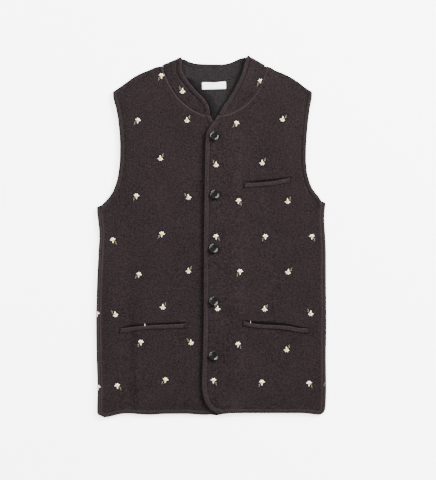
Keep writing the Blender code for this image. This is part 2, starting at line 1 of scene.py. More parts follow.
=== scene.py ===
# %% [markdown]
# # A buttoned gilet in boiled wool
# The gilet lies on its back panel with both fronts folded over it and buttoned. The loaded frame
# holds one plain solid for each piece that a maker would cut. This lesson dresses every solid with
# finer cloth: rounded and topstitched edges, soft folds, welted pockets and embroidered daisies.
# The frame is loaded first.

# %% Load the frame
import math
import random
from bisect import bisect_right
from collections import namedtuple

import bmesh
import bpy
from mathutils import Matrix, Vector, geometry, kdtree, noise
from mathutils.bvhtree import BVHTree


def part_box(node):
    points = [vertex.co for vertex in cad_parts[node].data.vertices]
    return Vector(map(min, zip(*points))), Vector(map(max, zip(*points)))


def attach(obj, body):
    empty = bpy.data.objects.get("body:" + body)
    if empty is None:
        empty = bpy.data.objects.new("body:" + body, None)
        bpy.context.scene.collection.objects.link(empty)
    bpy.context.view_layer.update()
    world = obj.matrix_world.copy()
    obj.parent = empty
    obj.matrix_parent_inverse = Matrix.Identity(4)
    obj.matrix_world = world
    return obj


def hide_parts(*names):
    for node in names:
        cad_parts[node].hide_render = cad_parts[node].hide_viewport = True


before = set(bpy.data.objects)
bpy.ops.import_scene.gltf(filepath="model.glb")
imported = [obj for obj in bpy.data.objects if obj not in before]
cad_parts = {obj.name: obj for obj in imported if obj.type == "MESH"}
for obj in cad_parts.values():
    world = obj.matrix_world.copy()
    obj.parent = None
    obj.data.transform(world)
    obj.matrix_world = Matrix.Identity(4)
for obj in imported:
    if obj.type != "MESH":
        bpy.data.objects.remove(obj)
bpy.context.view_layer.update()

print("nodes:", ", ".join(sorted(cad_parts)))

# %% [markdown]
# ## Measures
# A tailor works in millimetres, so the tables below are in millimetres too. x runs to the right of
# the middle and height runs up from the hem. `to_model` turns such a place into Blender's metres,
# and `to_garment` turns it back.

# %% Measures of the cloth
MM = 0.001
UP = Vector((0, 0, 1))
MIDDLE_HEIGHT = 355.5

CLOTH = 2.2
SEWN_GAP = 0.06
SEAM_INSET = 6.0
SIDE_AIR = 1.6
BACK_INSET = 0.7
BACK_REST = 0.25

CENTRE_FRONT = 7.5
LEFT_UNDERARM = 410.0
RIGHT_UNDERARM = 418.0
SHOULDER_TIP = 644.0
COLLAR_TIP = 597.0


def to_model(point):
    return Vector((point.x, point.y - MIDDLE_HEIGHT, point.z)) * MM


def to_garment(point):
    return Vector((point.x / MM, point.y / MM + MIDDLE_HEIGHT, point.z / MM))


# %% [markdown]
# ## The cut
# A pattern piece is an outline. Each row below gives the outline's place at one height, and a
# smooth curve through the rows draws the line between them. The curve is monotone: it never
# swings past a row, so a straight side seam stays straight.

# %% Outlines of the pattern pieces
Outline = namedtuple("Outline", "height left right")
SIDES = [
    Outline(0, -226.0, 221.5), Outline(4, -228.3, 225.4), Outline(8, -228.4, 227.4),
    Outline(14, -228.3, 228.8), Outline(52, -227.6, 230.1), Outline(116, -229.5, 229.5),
    Outline(180, -230.3, 230.5), Outline(260, -228.5, 229.7), Outline(324, -225.5, 229.5),
    Outline(356, -223.8, 228.1), Outline(388, -226.3, 226.2), Outline(404, -228.3, 226.8),
    Outline(418, -228.5, 228.4),
]
Edge = namedtuple("Edge", "height x")
ARMHOLE_LEFT = [
    Edge(410, -222.3), Edge(414, -220.8), Edge(420, -216.6), Edge(428, -209.0),
    Edge(436, -202.1), Edge(444, -197.2), Edge(452, -193.5), Edge(468, -188.3),
    Edge(484, -185.4), Edge(508, -182.7), Edge(532, -182.3), Edge(556, -183.2),
    Edge(580, -185.3), Edge(612, -190.7), Edge(636, -196.4), Edge(644, -196.5),
]
ARMHOLE_RIGHT = [
    Edge(418, 222.3), Edge(423, 221.0), Edge(428, 218.8), Edge(436, 213.6),
    Edge(444, 206.8), Edge(452, 201.5), Edge(468, 195.3), Edge(484, 191.4),
    Edge(508, 189.5), Edge(532, 189.7), Edge(556, 191.2), Edge(580, 193.3),
    Edge(612, 197.3), Edge(636, 201.4), Edge(644, 201.5),
]
FRONT_EDGE = [
    Edge(0, 17.5), Edge(4, 7.5), Edge(8, 1.5), Edge(14, -4.5), Edge(21, -9.5),
    Edge(30, -13.5), Edge(42, -16.5), Edge(58, -18.4), Edge(78, -17.9), Edge(148, -15.7),
    Edge(235, -14.7), Edge(325, -14.7), Edge(428, -13.5), Edge(532, -11.9), Edge(548, -11.4),
    Edge(556, -10.5), Edge(564, -8.5), Edge(572, -4.5), Edge(580, 1.5), Edge(586, 6.4),
    Edge(592, 10.4), Edge(597, 13.4),
]
NECK_EDGE = [
    Edge(556, 24.6), Edge(564, 21.6), Edge(572, 16.6), Edge(580, 9.6),
    Edge(586, 4.0), Edge(592, -0.3), Edge(597, -2.4),
]
SHOULDER_LEFT = [
    Edge(644, -196.5), Edge(652, -185.0), Edge(664, -168.0), Edge(676, -151.0),
    Edge(688, -124.0), Edge(694, -108.0), Edge(695.4, -97.2),
]
SHOULDER_RIGHT = [
    Edge(695.0, 107.6), Edge(694, 115.7), Edge(688, 126.7), Edge(676, 154.0),
    Edge(664, 173.5), Edge(652, 189.0), Edge(644, 201.5),
]
Hem = namedtuple("Hem", "x height")
FRONT_HEM = [
    Hem(-230, 0.0), Hem(-224, -2.0), Hem(-212, -6.4), Hem(-198, -3.7), Hem(-182, 0.0),
    Hem(-168, 1.2), Hem(-122, -1.2), Hem(-92, 0.4), Hem(-52, 0.6), Hem(-12, -1.6),
    Hem(8, 0.0), Hem(28, 0.6), Hem(42, 2.0), Hem(178, 2.0), Hem(202, 0.0),
    Hem(214, -1.2), Hem(222, 0.0), Hem(230, 0.0),
]
HEM_REACH = 60.0


def smooth(value):
    """Ease from 0 to 1 as value goes from 0 to 1."""
    held = min(1.0, max(0.0, value))
    return held * held * (3.0 - 2.0 * held)


def mix(start, end, share):
    return start + (end - start) * share


def bump_at(value, centre, width):
    """A soft hill of height 1."""
    return math.exp(-((value - centre) / width) ** 2)


def through(stations, values):
    """A smooth curve through table values that never swings past them."""
    count = len(stations)
    steps = [stations[i + 1] - stations[i] for i in range(count - 1)]
    slopes = [(values[i + 1] - values[i]) / steps[i] for i in range(count - 1)]
    tangents = [slopes[0]]
    for before, after in zip(slopes[:-1], slopes[1:]):
        even = before * after > 0.0
        tangents.append(2.0 * before * after / (before + after) if even else 0.0)
    tangents.append(slopes[-1])

    def curve(station):
        held = min(stations[-1], max(stations[0], station))
        i = min(count - 2, bisect_right(stations, held) - 1)
        t = (held - stations[i]) / steps[i]
        rise = values[i + 1] - values[i]
        start = tangents[i] * steps[i]
        end = tangents[i + 1] * steps[i]
        return (values[i] + t * start + t * t * (3 * rise - 2 * start - end)
                + t ** 3 * (start + end - 2 * rise))

    return curve


def along_heights(table):
    return through([row.height for row in table], [row.x for row in table])


def along_x(table):
    return through([row.x for row in table], [row.height for row in table])


side_left = through([row.height for row in SIDES], [row.left for row in SIDES])
side_right = through([row.height for row in SIDES], [row.right for row in SIDES])
armhole_left = along_heights(ARMHOLE_LEFT)
armhole_right = along_heights(ARMHOLE_RIGHT)
front_edge = along_heights(FRONT_EDGE)
neck_edge = along_heights(NECK_EDGE)
shoulder_left = along_x(SHOULDER_LEFT)
shoulder_right = along_x(SHOULDER_RIGHT)
front_hem = along_x(FRONT_HEM)


def under_edge(height):
    """Front edge of the panel that runs on underneath, a mirror image below the neck."""
    if height >= NECK_EDGE[0].height:
        return neck_edge(height)
    return 2.0 * CENTRE_FRONT - front_edge(height)


def outer_left(height):
    if height <= LEFT_UNDERARM:
        return side_left(height) + SEAM_INSET
    return armhole_left(height)


def outer_right(height):
    if height <= RIGHT_UNDERARM:
        return side_right(height) - SEAM_INSET
    return armhole_right(height)


def shoulder_height(x):
    return shoulder_left(x) if x < 0 else shoulder_right(x)


print("chest width at the underarm: %.0f mm" % (side_right(400) - side_left(400)))

# %% [markdown]
# ## How the layers lie
# The fronts rest on the back with a little air between them. The air opens and closes in long
# soft folds, and the front on top is lifted where it lies on the edge of the other one. Both
# fronts read their height from the same function, so they can never cut through each other.
# Folds are listed: each row is a trough or a ridge from one height to another.

# %% Air, folds and the lap
AIR = 1.35
LEAST_AIR = 0.4
SIDE_EASE = 22.0
ARMHOLE_AIR = 0.8
ARMHOLE_EASE = 30.0
HEM_AIR_SHARE = 0.5
HEM_DROP = 6.0
HEM_EASE = 36.0
SHOULDER_EASE = 34.0
LAP_LIFT = 3.1
LAP_START = 2.0
LAP_FADE = 42.0
EDGE_CURL = 1.1
EDGE_CURL_WIDTH = 19.0
LAP_AIR_SHARE = 0.5
LAP_FLAT = 20.0
LAP_EASE = 30.0
LAP_LOWEST = 42.0
LAP_HIGHEST = 572.0
NECK_X = 5.0
NECK_HEIGHT = 672.0
NECK_HALF_WIDTH = 101.0
NECK_HALF_HEIGHT = 76.0
NECK_RISE = 0.9
NECK_RING = 0.95
NECK_RING_FADE = 0.45
RIPPLE = 0.28
RIPPLE_SIZE = 52.0
RIPPLE_STRETCH = 0.7

Fold = namedtuple("Fold", "low_x low_height high_x high_height width depth")
FOLDS = [
    Fold(-174, 0, -168, 400, 16, -1.0),
    Fold(-163, 0, -160, 150, 8, -0.5),
    Fold(-206, 20, -204, 330, 13, 0.7),
    Fold(-134, 20, -112, 520, 26, 0.8),
    Fold(-60, 40, -66, 420, 20, -0.4),
    Fold(-150, 430, -120, 610, 20, 0.5),
    Fold(70, 60, 62, 420, 24, 0.5),
    Fold(128, 30, 120, 380, 22, -0.6),
    Fold(190, 60, 196, 380, 16, 0.5),
    Fold(172, 400, 140, 600, 22, 0.5),
    Fold(92, 330, 100, 560, 20, -0.4),
    Fold(-146, 10, -148, 150, 10, 1.3),
    Fold(-166, 10, -166, 170, 10, -0.7),
    Fold(47, 10, 49, 220, 12, 0.5),
    Fold(28, 10, 30, 220, 12, -0.5),
]
FOLD_END = 70.0


def fold_height(x, height):
    total = 0.0
    for fold in FOLDS:
        along = (height - fold.low_height) / (fold.high_height - fold.low_height)
        inside = smooth((height - fold.low_height + FOLD_END) / FOLD_END)
        inside *= smooth((fold.high_height + FOLD_END - height) / FOLD_END)
        total += inside * fold.depth * bump_at(x, mix(fold.low_x, fold.high_x, along), fold.width)
    return total


def ripple(x, height):
    """Slow unevenness of a cloth that was smoothed by hand."""
    return RIPPLE * noise.noise(Vector((x, height * RIPPLE_STRETCH, 0.0)) / RIPPLE_SIZE)


def air_below(x, height):
    """Clear space between the back and the front that lies on it."""
    air = AIR + fold_height(x, height) + ripple(x, height)
    reach = outer_left(height) if x < 0 else outer_right(height)
    from_side = abs(reach) - abs(x)
    underarm = LEFT_UNDERARM if x < 0 else RIGHT_UNDERARM
    edge_air = mix(SIDE_AIR, ARMHOLE_AIR, smooth((height - underarm) / ARMHOLE_EASE))
    air = mix(edge_air, air, smooth(from_side / SIDE_EASE))
    air *= mix(LAP_AIR_SHARE, 1.0, smooth((abs(x - CENTRE_FRONT) - LAP_FLAT) / LAP_EASE))
    air *= mix(HEM_AIR_SHARE, 1.0, smooth((height + HEM_DROP) / HEM_EASE))
    ring = math.hypot((x - NECK_X) / NECK_HALF_WIDTH, (height - NECK_HEIGHT) / NECK_HALF_HEIGHT)
    air += NECK_RISE * (1.0 - smooth((ring - NECK_RING) / NECK_RING_FADE))
    air = mix(LEAST_AIR, air, smooth((shoulder_height(x) - height) / SHOULDER_EASE))
    return max(LEAST_AIR, air)


def lower_front_middle(x, height):
    return CLOTH * 1.5 + air_below(x, height)


def upper_front_middle(x, height):
    """The same, lifted where it lies on the other front."""
    past = x - under_edge(min(LAP_HIGHEST, max(LAP_LOWEST, height)))
    lap = 1.0 - smooth((past - LAP_START) / LAP_FADE)
    from_edge = x - front_edge(min(LAP_HIGHEST, max(LAP_LOWEST, height)))
    curl = EDGE_CURL * (1.0 - smooth(from_edge / EDGE_CURL_WIDTH))
    curl *= smooth((COLLAR_TIP - height) / LAP_EASE) * smooth(height / LAP_LOWEST)
    return lower_front_middle(x, height) + LAP_LIFT * lap + curl


print("lap lifts the top front to %.1f mm" % upper_front_middle(0, 300))

# %% [markdown]
# ## Distance to an edge
# Almost every detail of a sewn edge is a function of one number: how far in from the edge a point
# lies. A tree of edge points finds the nearest one quickly, and the two segments beside it give
# the exact distance, with the length along the edge for details that repeat along it.

# %% Distance helper
def edge_ruler(line):
    """Gives a function for the distance to a line, and for how far along it that is."""
    tree = kdtree.KDTree(len(line))
    lengths = [0.0]
    for k, point in enumerate(line):
        tree.insert((point.x, point.y, 0.0), k)
        if k:
            lengths.append(lengths[-1] + (line[k] - line[k - 1]).length)
    tree.balance()

    def measure(x, height):
        place = Vector((x, height, 0.0))
        k, gap = tree.find(place)[1:]
        along = lengths[k]
        for a in (k - 1, k):
            if 0 <= a < len(line) - 1:
                near, share = geometry.intersect_point_line(place, line[a], line[a + 1])
                if 0.0 <= share <= 1.0 and (near - place).length < gap:
                    gap = (near - place).length
                    along = mix(lengths[a], lengths[a + 1], share)
        return gap, along

    return measure


# %% [markdown]
# ## A wall of felted wool
# Felted wool is thick, so a sheet without thickness would look like paper. Each piece is a closed
# wall. `create_grid` makes a flat net, `extrude_face_region` gives it a second side, and every
# point then moves to its own place on the outside or the inside of the cloth. The Solidify
# modifier would also give thickness, but not one that swells and dips along a stitched edge. Each
# point also keeps two values for the material: a painted highlight that pales the wool where a
# raised edge, roll or ridge would catch the light, and a painted shade that darkens it.

# %% Wall helper
TURNED_EXTRA = 0.9
TURNED_WIDTH = 7.6
TURNED_FADE = 2.2
STITCH_LINE = 8.6
GROOVE_DEPTH = 0.9
GROOVE_WIDTH = 1.3
EDGE_ROUND = 1.7
EDGE_SHARE = 0.32
# Painted highlight: how far the wool is paled on the side of a roll, on its top, at an edge's rim and on
# its band.
ROLL_HIGHLIGHT = 0.36
TOP_HIGHLIGHT = 0.26
RIM_HIGHLIGHT, RIM_WIDTH = 0.2, 3.0
BAND_HIGHLIGHT, BAND_INSET = 0.09, 1.0
PUCKER = 0.09
PUCKER_LENGTH = 10.5
PUCKER_PLACE, PUCKER_WIDTH = STITCH_LINE - 2.6, 3.4
DRIFT, DRIFT_LENGTH = 3.0, 40.0
REST_CLEAR = 0.05
CLOTH_PIECES = {}


def finish_mesh(name, shape, materials):
    """Turns a finished bmesh into an object that sits at the origin."""
    mesh = bpy.data.meshes.new(name)
    shape.to_mesh(mesh)
    shape.free()
    for material in materials:
        mesh.materials.append(material)
    piece = bpy.data.objects.new(name, mesh)
    bpy.context.scene.collection.objects.link(piece)
    return piece


def cloth_wall(name, outside, inside, materials, highlights=None, shade=None):
    """A closed wall between two grids of points, its outside and its inside."""
    rows, columns = len(outside), len(outside[0])
    net = bmesh.new()
    painted_highlight = net.verts.layers.float.new("painted_highlight")
    painted_shade = net.verts.layers.float.new("painted_shade")
    bmesh.ops.create_grid(net, x_segments=columns - 1, y_segments=rows - 1, size=0.5)
    made = bmesh.ops.extrude_face_region(net, geom=net.faces[:])["geom"]
    outer = {item for item in made if isinstance(item, bmesh.types.BMVert)}
    for face in net.faces:
        face.smooth = True
        face.material_index = 0 if any(vert in outer for vert in face.verts) else 1
    for vert in net.verts:
        i = round((vert.co.y + 0.5) * (rows - 1))
        j = round((vert.co.x + 0.5) * (columns - 1))
        place = (outside if vert in outer else inside)[i][j]
        vert.co = to_model(Vector((place.x, place.y, max(place.z, REST_CLEAR))))
        # The painted highlight goes on both faces, the painted shade on the inside face only.
        vert[painted_highlight] = highlights[i][j] if highlights else 0.0
        vert[painted_shade] = shade[i][j] if shade and vert not in outer else 0.0
    bmesh.ops.recalc_face_normals(net, faces=net.faces[:])
    piece = finish_mesh(name, net, materials)
    CLOTH_PIECES[name] = piece
    print("%s: %d rows, %d columns" % (name, rows, columns))
    return piece


def rounding(gap):
    """Share of the cloth's thickness left this close to a rounded edge."""
    inside = 1.0 - min(1.0, gap / EDGE_ROUND)
    return mix(EDGE_SHARE, 1.0, math.sqrt(1.0 - inside * inside))


def turned_edge(gap, along):
    """Height that a turned and topstitched edge adds to the face of the cloth."""
    band = TURNED_EXTRA * (1.0 - smooth((gap - TURNED_WIDTH) / TURNED_FADE))
    groove = GROOVE_DEPTH * bump_at(gap, STITCH_LINE, GROOVE_WIDTH)
    drift = DRIFT * noise.noise(Vector((along / DRIFT_LENGTH, 0, 3)))
    wave = math.sin(2.0 * math.pi * along / PUCKER_LENGTH + drift)
    return band - groove + PUCKER * wave * bump_at(gap, PUCKER_PLACE, PUCKER_WIDTH)


def edge_highlight(gap):
    """Painted highlight this close to a turned edge: the rim and the band are paled as if lit."""
    rim = RIM_HIGHLIGHT * (1.0 - smooth(gap / RIM_WIDTH))
    return rim + BAND_HIGHLIGHT * (1.0 - smooth((gap - TURNED_WIDTH + BAND_INSET) / TURNED_FADE))


def edge_stations(length, step, near_start, near_end):
    """Stations from 0 to length: the given ones near both ends, and even steps between them."""
    start, end = near_start[-1], length - near_end[-1]
    count = max(1, round((end - start) / step))
    between = [mix(start, end, k / count) for k in range(1, count)]
    return list(near_start) + between + [length - near for near in reversed(near_end)]


NEAR_TURNED = (0.0, 0.25, 0.7, 1.3, 2.0, 3.4, 5.0, 6.6, 7.6, 8.2, 8.8, 9.5, 10.6, 12.5, 15.5)
NEAR_SEAM = (0.0, 0.25, 0.7, 1.3, 2.1, 3.4, 5.2, 8.0, 11.5, 15.5)
print("an edge has %d columns of points near it" % len(NEAR_TURNED))

# %% [markdown]
# ## Pockets
# Three pockets are cut into the fronts. Under the mouth of each one the cloth dips into a narrow
# trough, so that the mouth is a real hollow with a shadow in it. The mouth runs from the top of
# the welt to a lip above it, and the lower pocket on the right of the picture gapes widest.

# %% Pocket mouths and welts
Welt = namedtuple("Welt", "x top bottom gape")
CHEST_WELT = [
    Welt(64.9, 463.0, 451.4, 1.0), Welt(78.0, 462.0, 452.0, 3.0), Welt(94.0, 462.6, 453.4, 4.4),
    Welt(108.0, 463.8, 455.0, 4.6), Welt(124.0, 465.4, 456.6, 4.2), Welt(140.0, 468.4, 459.4, 3.4),
    Welt(157.0, 472.6, 461.8, 1.4),
]
RIGHT_WELT = [
    Welt(-183.0, 171.0, 161.4, 1.6), Welt(-168.0, 173.0, 163.0, 3.2),
    Welt(-150.0, 175.0, 166.4, 3.8), Welt(-132.0, 176.8, 169.0, 3.7),
    Welt(-112.0, 178.2, 169.8, 3.7), Welt(-86.0, 179.0, 170.2, 4.0),
    Welt(-66.0, 179.8, 170.8, 4.0), Welt(-49.0, 181.4, 171.4, 1.8),
]
LEFT_WELT = [
    Welt(63.0, 187.4, 176.6, 1.0), Welt(78.0, 182.4, 173.4, 4.2), Welt(96.0, 179.4, 171.2, 6.0),
    Welt(118.0, 178.2, 170.0, 6.2), Welt(140.0, 177.4, 168.8, 4.6), Welt(158.0, 175.6, 166.0, 3.6),
    Welt(178.0, 171.8, 162.4, 2.6), Welt(195.0, 171.2, 161.0, 1.0),
]
POCKET_DEPTH = 1.35
POCKET_END, END_SLOPE = 3.0, 4.0
LIP_OUT, LIP_SLOPE = 0.7, 1.1
TROUGH_BELOW, TROUGH_SLOPE = 4.5, 2.5


def pocket_mouth(table):
    """Curves for the welt's top and bottom and for the lip of the mouth above it."""
    xs = [row.x for row in table]
    top = through(xs, [row.top for row in table])
    bottom = through(xs, [row.bottom for row in table])
    gape = through(xs, [row.gape for row in table])
    return xs[0], xs[-1], top, bottom, gape


POCKETS = {"chest": pocket_mouth(CHEST_WELT), "right": pocket_mouth(RIGHT_WELT),
           "left": pocket_mouth(LEFT_WELT)}


def pocket_trough(x, height):
    """How deep the cloth dips into the pockets here."""
    depth = 0.0
    for start, end, top, bottom, gape in POCKETS.values():
        if start - POCKET_END < x < end + POCKET_END:
            across = smooth((top(x) + gape(x) + LIP_OUT - height) / LIP_SLOPE)
            across *= smooth((height - top(x) + TROUGH_BELOW) / TROUGH_SLOPE)
            ends = smooth((x - start + POCKET_END) / END_SLOPE)
            ends *= smooth((end + POCKET_END - x) / END_SLOPE)
            depth += POCKET_DEPTH * across * ends
    return depth


for pocket, (start, end, top, bottom, gape) in POCKETS.items():
    print("%s pocket: %.0f mm wide, %.0f mm high welt" % (pocket, end - start, top(start) - bottom(start)))

# %% [markdown]
# ## The wool
# Boiled wool is knitted and then felted until its loops close, and this one is made of fibres
# dyed in several shades. It is matt, its fibres lie in all directions, and dark and light specks
# show between them. One node group makes that mixture and its relief, and each wool material
# gives it its own colours. Sheen, a soft glow at glancing angles, stands for the loose nap.

# %% Wool and thread materials
OUTSIDE_DARK = (0.0011, 0.0007, 0.0008)
OUTSIDE_LIGHT = (0.0163, 0.0117, 0.0122)
INSIDE_DARK = (0.0038, 0.0033, 0.0035)
INSIDE_LIGHT = (0.0152, 0.0135, 0.0140)
# The pocket lining is near black: painted shade for the inside of the pocket mouths.
POCKET_DARK = (0.0013, 0.0011, 0.0011)
POCKET_LIGHT = (0.0030, 0.0026, 0.0026)
BUTTON_COLOUR = (0.0022, 0.0019, 0.0019)
THREAD_COLOUR = (0.0050, 0.0036, 0.0038)
HOLE_COLOUR = (0.0020, 0.0017, 0.0018)
PETAL_COLOUR = (0.90, 0.89, 0.86)
CENTRE_COLOUR = (0.68, 0.47, 0.0)
STEM_COLOUR = (0.088, 0.094, 0.047)
TAPE_COLOUR = (0.84, 0.84, 0.83)
FLOOR_COLOUR = (0.90, 0.90, 0.90)
# Gains of the painted highlight and the painted shade, which lighten and darken the wool.
PAINTED_HIGHLIGHT_GAIN = 2.1
PAINTED_SHADE_GAIN = 0.5
SPECK_GAIN = 2.4
THREAD_SHADE = 0.86


def add_socket(group, name, direction, kind, value=None):
    made = group.interface.new_socket(name=name, in_out=direction, socket_type=kind)
    if value is not None:
        made.default_value = value


def add_node(tree, kind, values=None, **settings):
    """Adds a node, sets its options, and sets or links its inputs."""
    made = tree.nodes.new(kind)
    for key, value in settings.items():
        setattr(made, key, value)
    for key, value in (values or {}).items():
        if isinstance(value, bpy.types.NodeSocket):
            tree.links.new(value, made.inputs[key])
        else:
            made.inputs[key].default_value = value
    return made


def add_math(tree, operation, *values, clamp=False):
    """What one step of arithmetic puts out."""
    made = add_node(tree, "ShaderNodeMath", dict(enumerate(values)), operation=operation,
                    use_clamp=clamp)
    return made.outputs[0]


def mix_colours(tree, share, first, second):
    """A colour between two others. The first may also be what another node puts out."""
    start = first if isinstance(first, bpy.types.NodeSocket) else (*first, 1.0)
    made = add_node(tree, "ShaderNodeMix", {0: share, 6: start, 7: (*second, 1.0)},
                    data_type="RGBA")
    return made.outputs[2]


def shaded(colour, gain):
    return tuple(value * gain for value in colour)


def add_relief(tree, shader, height, strength, distance):
    """Turns a height into small bumps of the surface."""
    bump = add_node(tree, "ShaderNodeBump", {"Strength": strength, "Distance": distance,
                                             "Height": height})
    tree.links.new(bump.outputs["Normal"], shader.inputs["Normal"])


def make_fibre_group():
    """Crossed fibres, specks and slow patches, as two masks and a height."""
    group = bpy.data.node_groups.new("felted fibres", "ShaderNodeTree")
    add_socket(group, "Vector", "INPUT", "NodeSocketVector")
    add_socket(group, "Fibre Scale", "INPUT", "NodeSocketFloat", 900.0)
    add_socket(group, "Shade", "OUTPUT", "NodeSocketFloat")
    add_socket(group, "Specks", "OUTPUT", "NodeSocketFloat")
    add_socket(group, "Height", "OUTPUT", "NodeSocketFloat")
    start = group.nodes.new("NodeGroupInput")
    end = group.nodes.new("NodeGroupOutput")
    place, scale = start.outputs["Vector"], start.outputs["Fibre Scale"]
    layers = []
    for turn, squeeze in ((0.5, (1.0, 4.5, 1.0)), (1.6, (1.0, 4.0, 1.0)), (2.7, (1.0, 5.0, 1.0))):
        turned = add_node(group, "ShaderNodeMapping",
                          {"Vector": place, "Rotation": (0.0, 0.0, turn), "Scale": squeeze},
                          vector_type="TEXTURE")
        fibre = add_node(group, "ShaderNodeTexNoise",
                         {"Vector": turned.outputs["Vector"], "Scale": scale, "Detail": 2.0,
                          "Roughness": 0.6, "Distortion": 0.4})
        layers.append(fibre.outputs["Fac"])
    crossed = add_math(group, "MAXIMUM", add_math(group, "MAXIMUM", *layers[:2]), layers[2])
    mottle = add_node(group, "ShaderNodeTexNoise", {"Vector": place, "Scale": 330.0, "Detail": 3.0,
                                                    "Roughness": 0.65})
    patch = add_node(group, "ShaderNodeTexNoise", {"Vector": place, "Scale": 22.0, "Detail": 2.0})
    shade = add_math(group, "MULTIPLY_ADD", mottle.outputs["Fac"], 2.1, -1.05)
    slow = add_math(group, "MULTIPLY_ADD", patch.outputs["Fac"], 0.22, -0.11)
    fine = add_math(group, "MULTIPLY_ADD", crossed, 1.2, -0.2)
    total = add_math(group, "ADD", add_math(group, "ADD", shade, slow), fine, clamp=True)
    group.links.new(total, end.inputs["Shade"])
    specks = add_node(group, "ShaderNodeTexNoise", {"Vector": place, "Scale": 560.0, "Detail": 1.0})
    sharp = add_node(group, "ShaderNodeMapRange", {"Value": specks.outputs["Fac"], "From Min": 0.64,
                                                   "From Max": 0.74, "To Min": 0.0, "To Max": 1.0})
    group.links.new(sharp.outputs["Result"], end.inputs["Specks"])
    relief = add_math(group, "MULTIPLY_ADD", mottle.outputs["Fac"], 1.3, crossed)
    group.links.new(relief, end.inputs["Height"])
    return group


FIBRES = make_fibre_group()


def new_material(name, colour, roughness):
    material = bpy.data.materials.new(name)
    material.use_nodes = True
    shader = material.node_tree.nodes["Principled BSDF"]
    shader.inputs["Base Color"].default_value = (*colour, 1.0)
    shader.inputs["Roughness"].default_value = roughness
    shader.inputs["Metallic"].default_value = 0.0
    return material, material.node_tree, shader


def wool(name, dark, light, speck=0.35, sheen=0.088):
    """A felted wool between two colours, with a few lighter fibres."""
    material, tree, shader = new_material(name, light, 0.96)
    shader.inputs["Specular IOR Level"].default_value = 0.012
    shader.inputs["Sheen Weight"].default_value = sheen
    shader.inputs["Sheen Roughness"].default_value = 0.45
    shader.inputs["Sheen Tint"].default_value = (0.62, 0.55, 0.56, 1.0)
    place = add_node(tree, "ShaderNodeTexCoord").outputs["Object"]
    fibres = add_node(tree, "ShaderNodeGroup", {}, node_tree=FIBRES)
    tree.links.new(place, fibres.inputs["Vector"])
    body = mix_colours(tree, fibres.outputs["Shade"], dark, light)
    # Painted highlight and painted shade, read from the mesh: the wool is paled where raised edges would
    # catch the light and darkened where shade falls.
    painted_highlight = add_node(tree, "ShaderNodeAttribute", attribute_name="painted_highlight")
    body = mix_colours(tree, painted_highlight.outputs["Fac"], body, shaded(light, PAINTED_HIGHLIGHT_GAIN))
    painted_shade = add_node(tree, "ShaderNodeAttribute", attribute_name="painted_shade")
    body = mix_colours(tree, painted_shade.outputs["Fac"], body, shaded(dark, PAINTED_SHADE_GAIN))
    amount = add_math(tree, "MULTIPLY", fibres.outputs["Specks"], speck)
    flecked = mix_colours(tree, amount, body, shaded(light, SPECK_GAIN))
    tree.links.new(flecked, shader.inputs["Base Color"])
    add_relief(tree, shader, fibres.outputs["Height"], 0.75, 0.00045)
    return material


def thread(name, colour, sheen=0.3, roughness=0.55):
    """Embroidery or sewing thread: smooth fibres with a slight change of shade."""
    material, tree, shader = new_material(name, colour, roughness)
    shader.inputs["Specular IOR Level"].default_value = 0.1
    shader.inputs["Sheen Weight"].default_value = sheen
    place = add_node(tree, "ShaderNodeTexCoord").outputs["Object"]
    noise_node = add_node(tree, "ShaderNodeTexNoise", {"Vector": place, "Scale": 1500.0,
                                                       "Detail": 2.0})
    tint = mix_colours(tree, noise_node.outputs["Fac"], shaded(colour, THREAD_SHADE), colour)
    tree.links.new(tint, shader.inputs["Base Color"])
    add_relief(tree, shader, noise_node.outputs["Fac"], 0.4, 0.0001)
    return material


OUTSIDE = wool("wool outside", OUTSIDE_DARK, OUTSIDE_LIGHT)
INSIDE = wool("wool inside", INSIDE_DARK, INSIDE_LIGHT, speck=0.2)
POCKETING = wool("pocket lining", POCKET_DARK, POCKET_LIGHT, speck=0.0, sheen=0.0)
SEWING = thread("sewing thread", THREAD_COLOUR, sheen=0.0, roughness=0.85)
HOLE_THREAD = thread("buttonhole thread", HOLE_COLOUR, sheen=0.0, roughness=0.8)
PETALS = thread("white thread", PETAL_COLOUR)
CENTRES = thread("yellow thread", CENTRE_COLOUR, sheen=0.0, roughness=0.9)
STEMS = thread("grey green thread", STEM_COLOUR)
print("materials so far:", len(bpy.data.materials))

# %% [markdown]
# ## The collar's cut
# The band collar is one strip round the neck. Each row is a section across it, from the free edge
# to the neck seam. In front the strip lies with its outside up, at the shoulders it folds over,
# and behind the neck its inside shows. The back and the fronts end on its seam line.

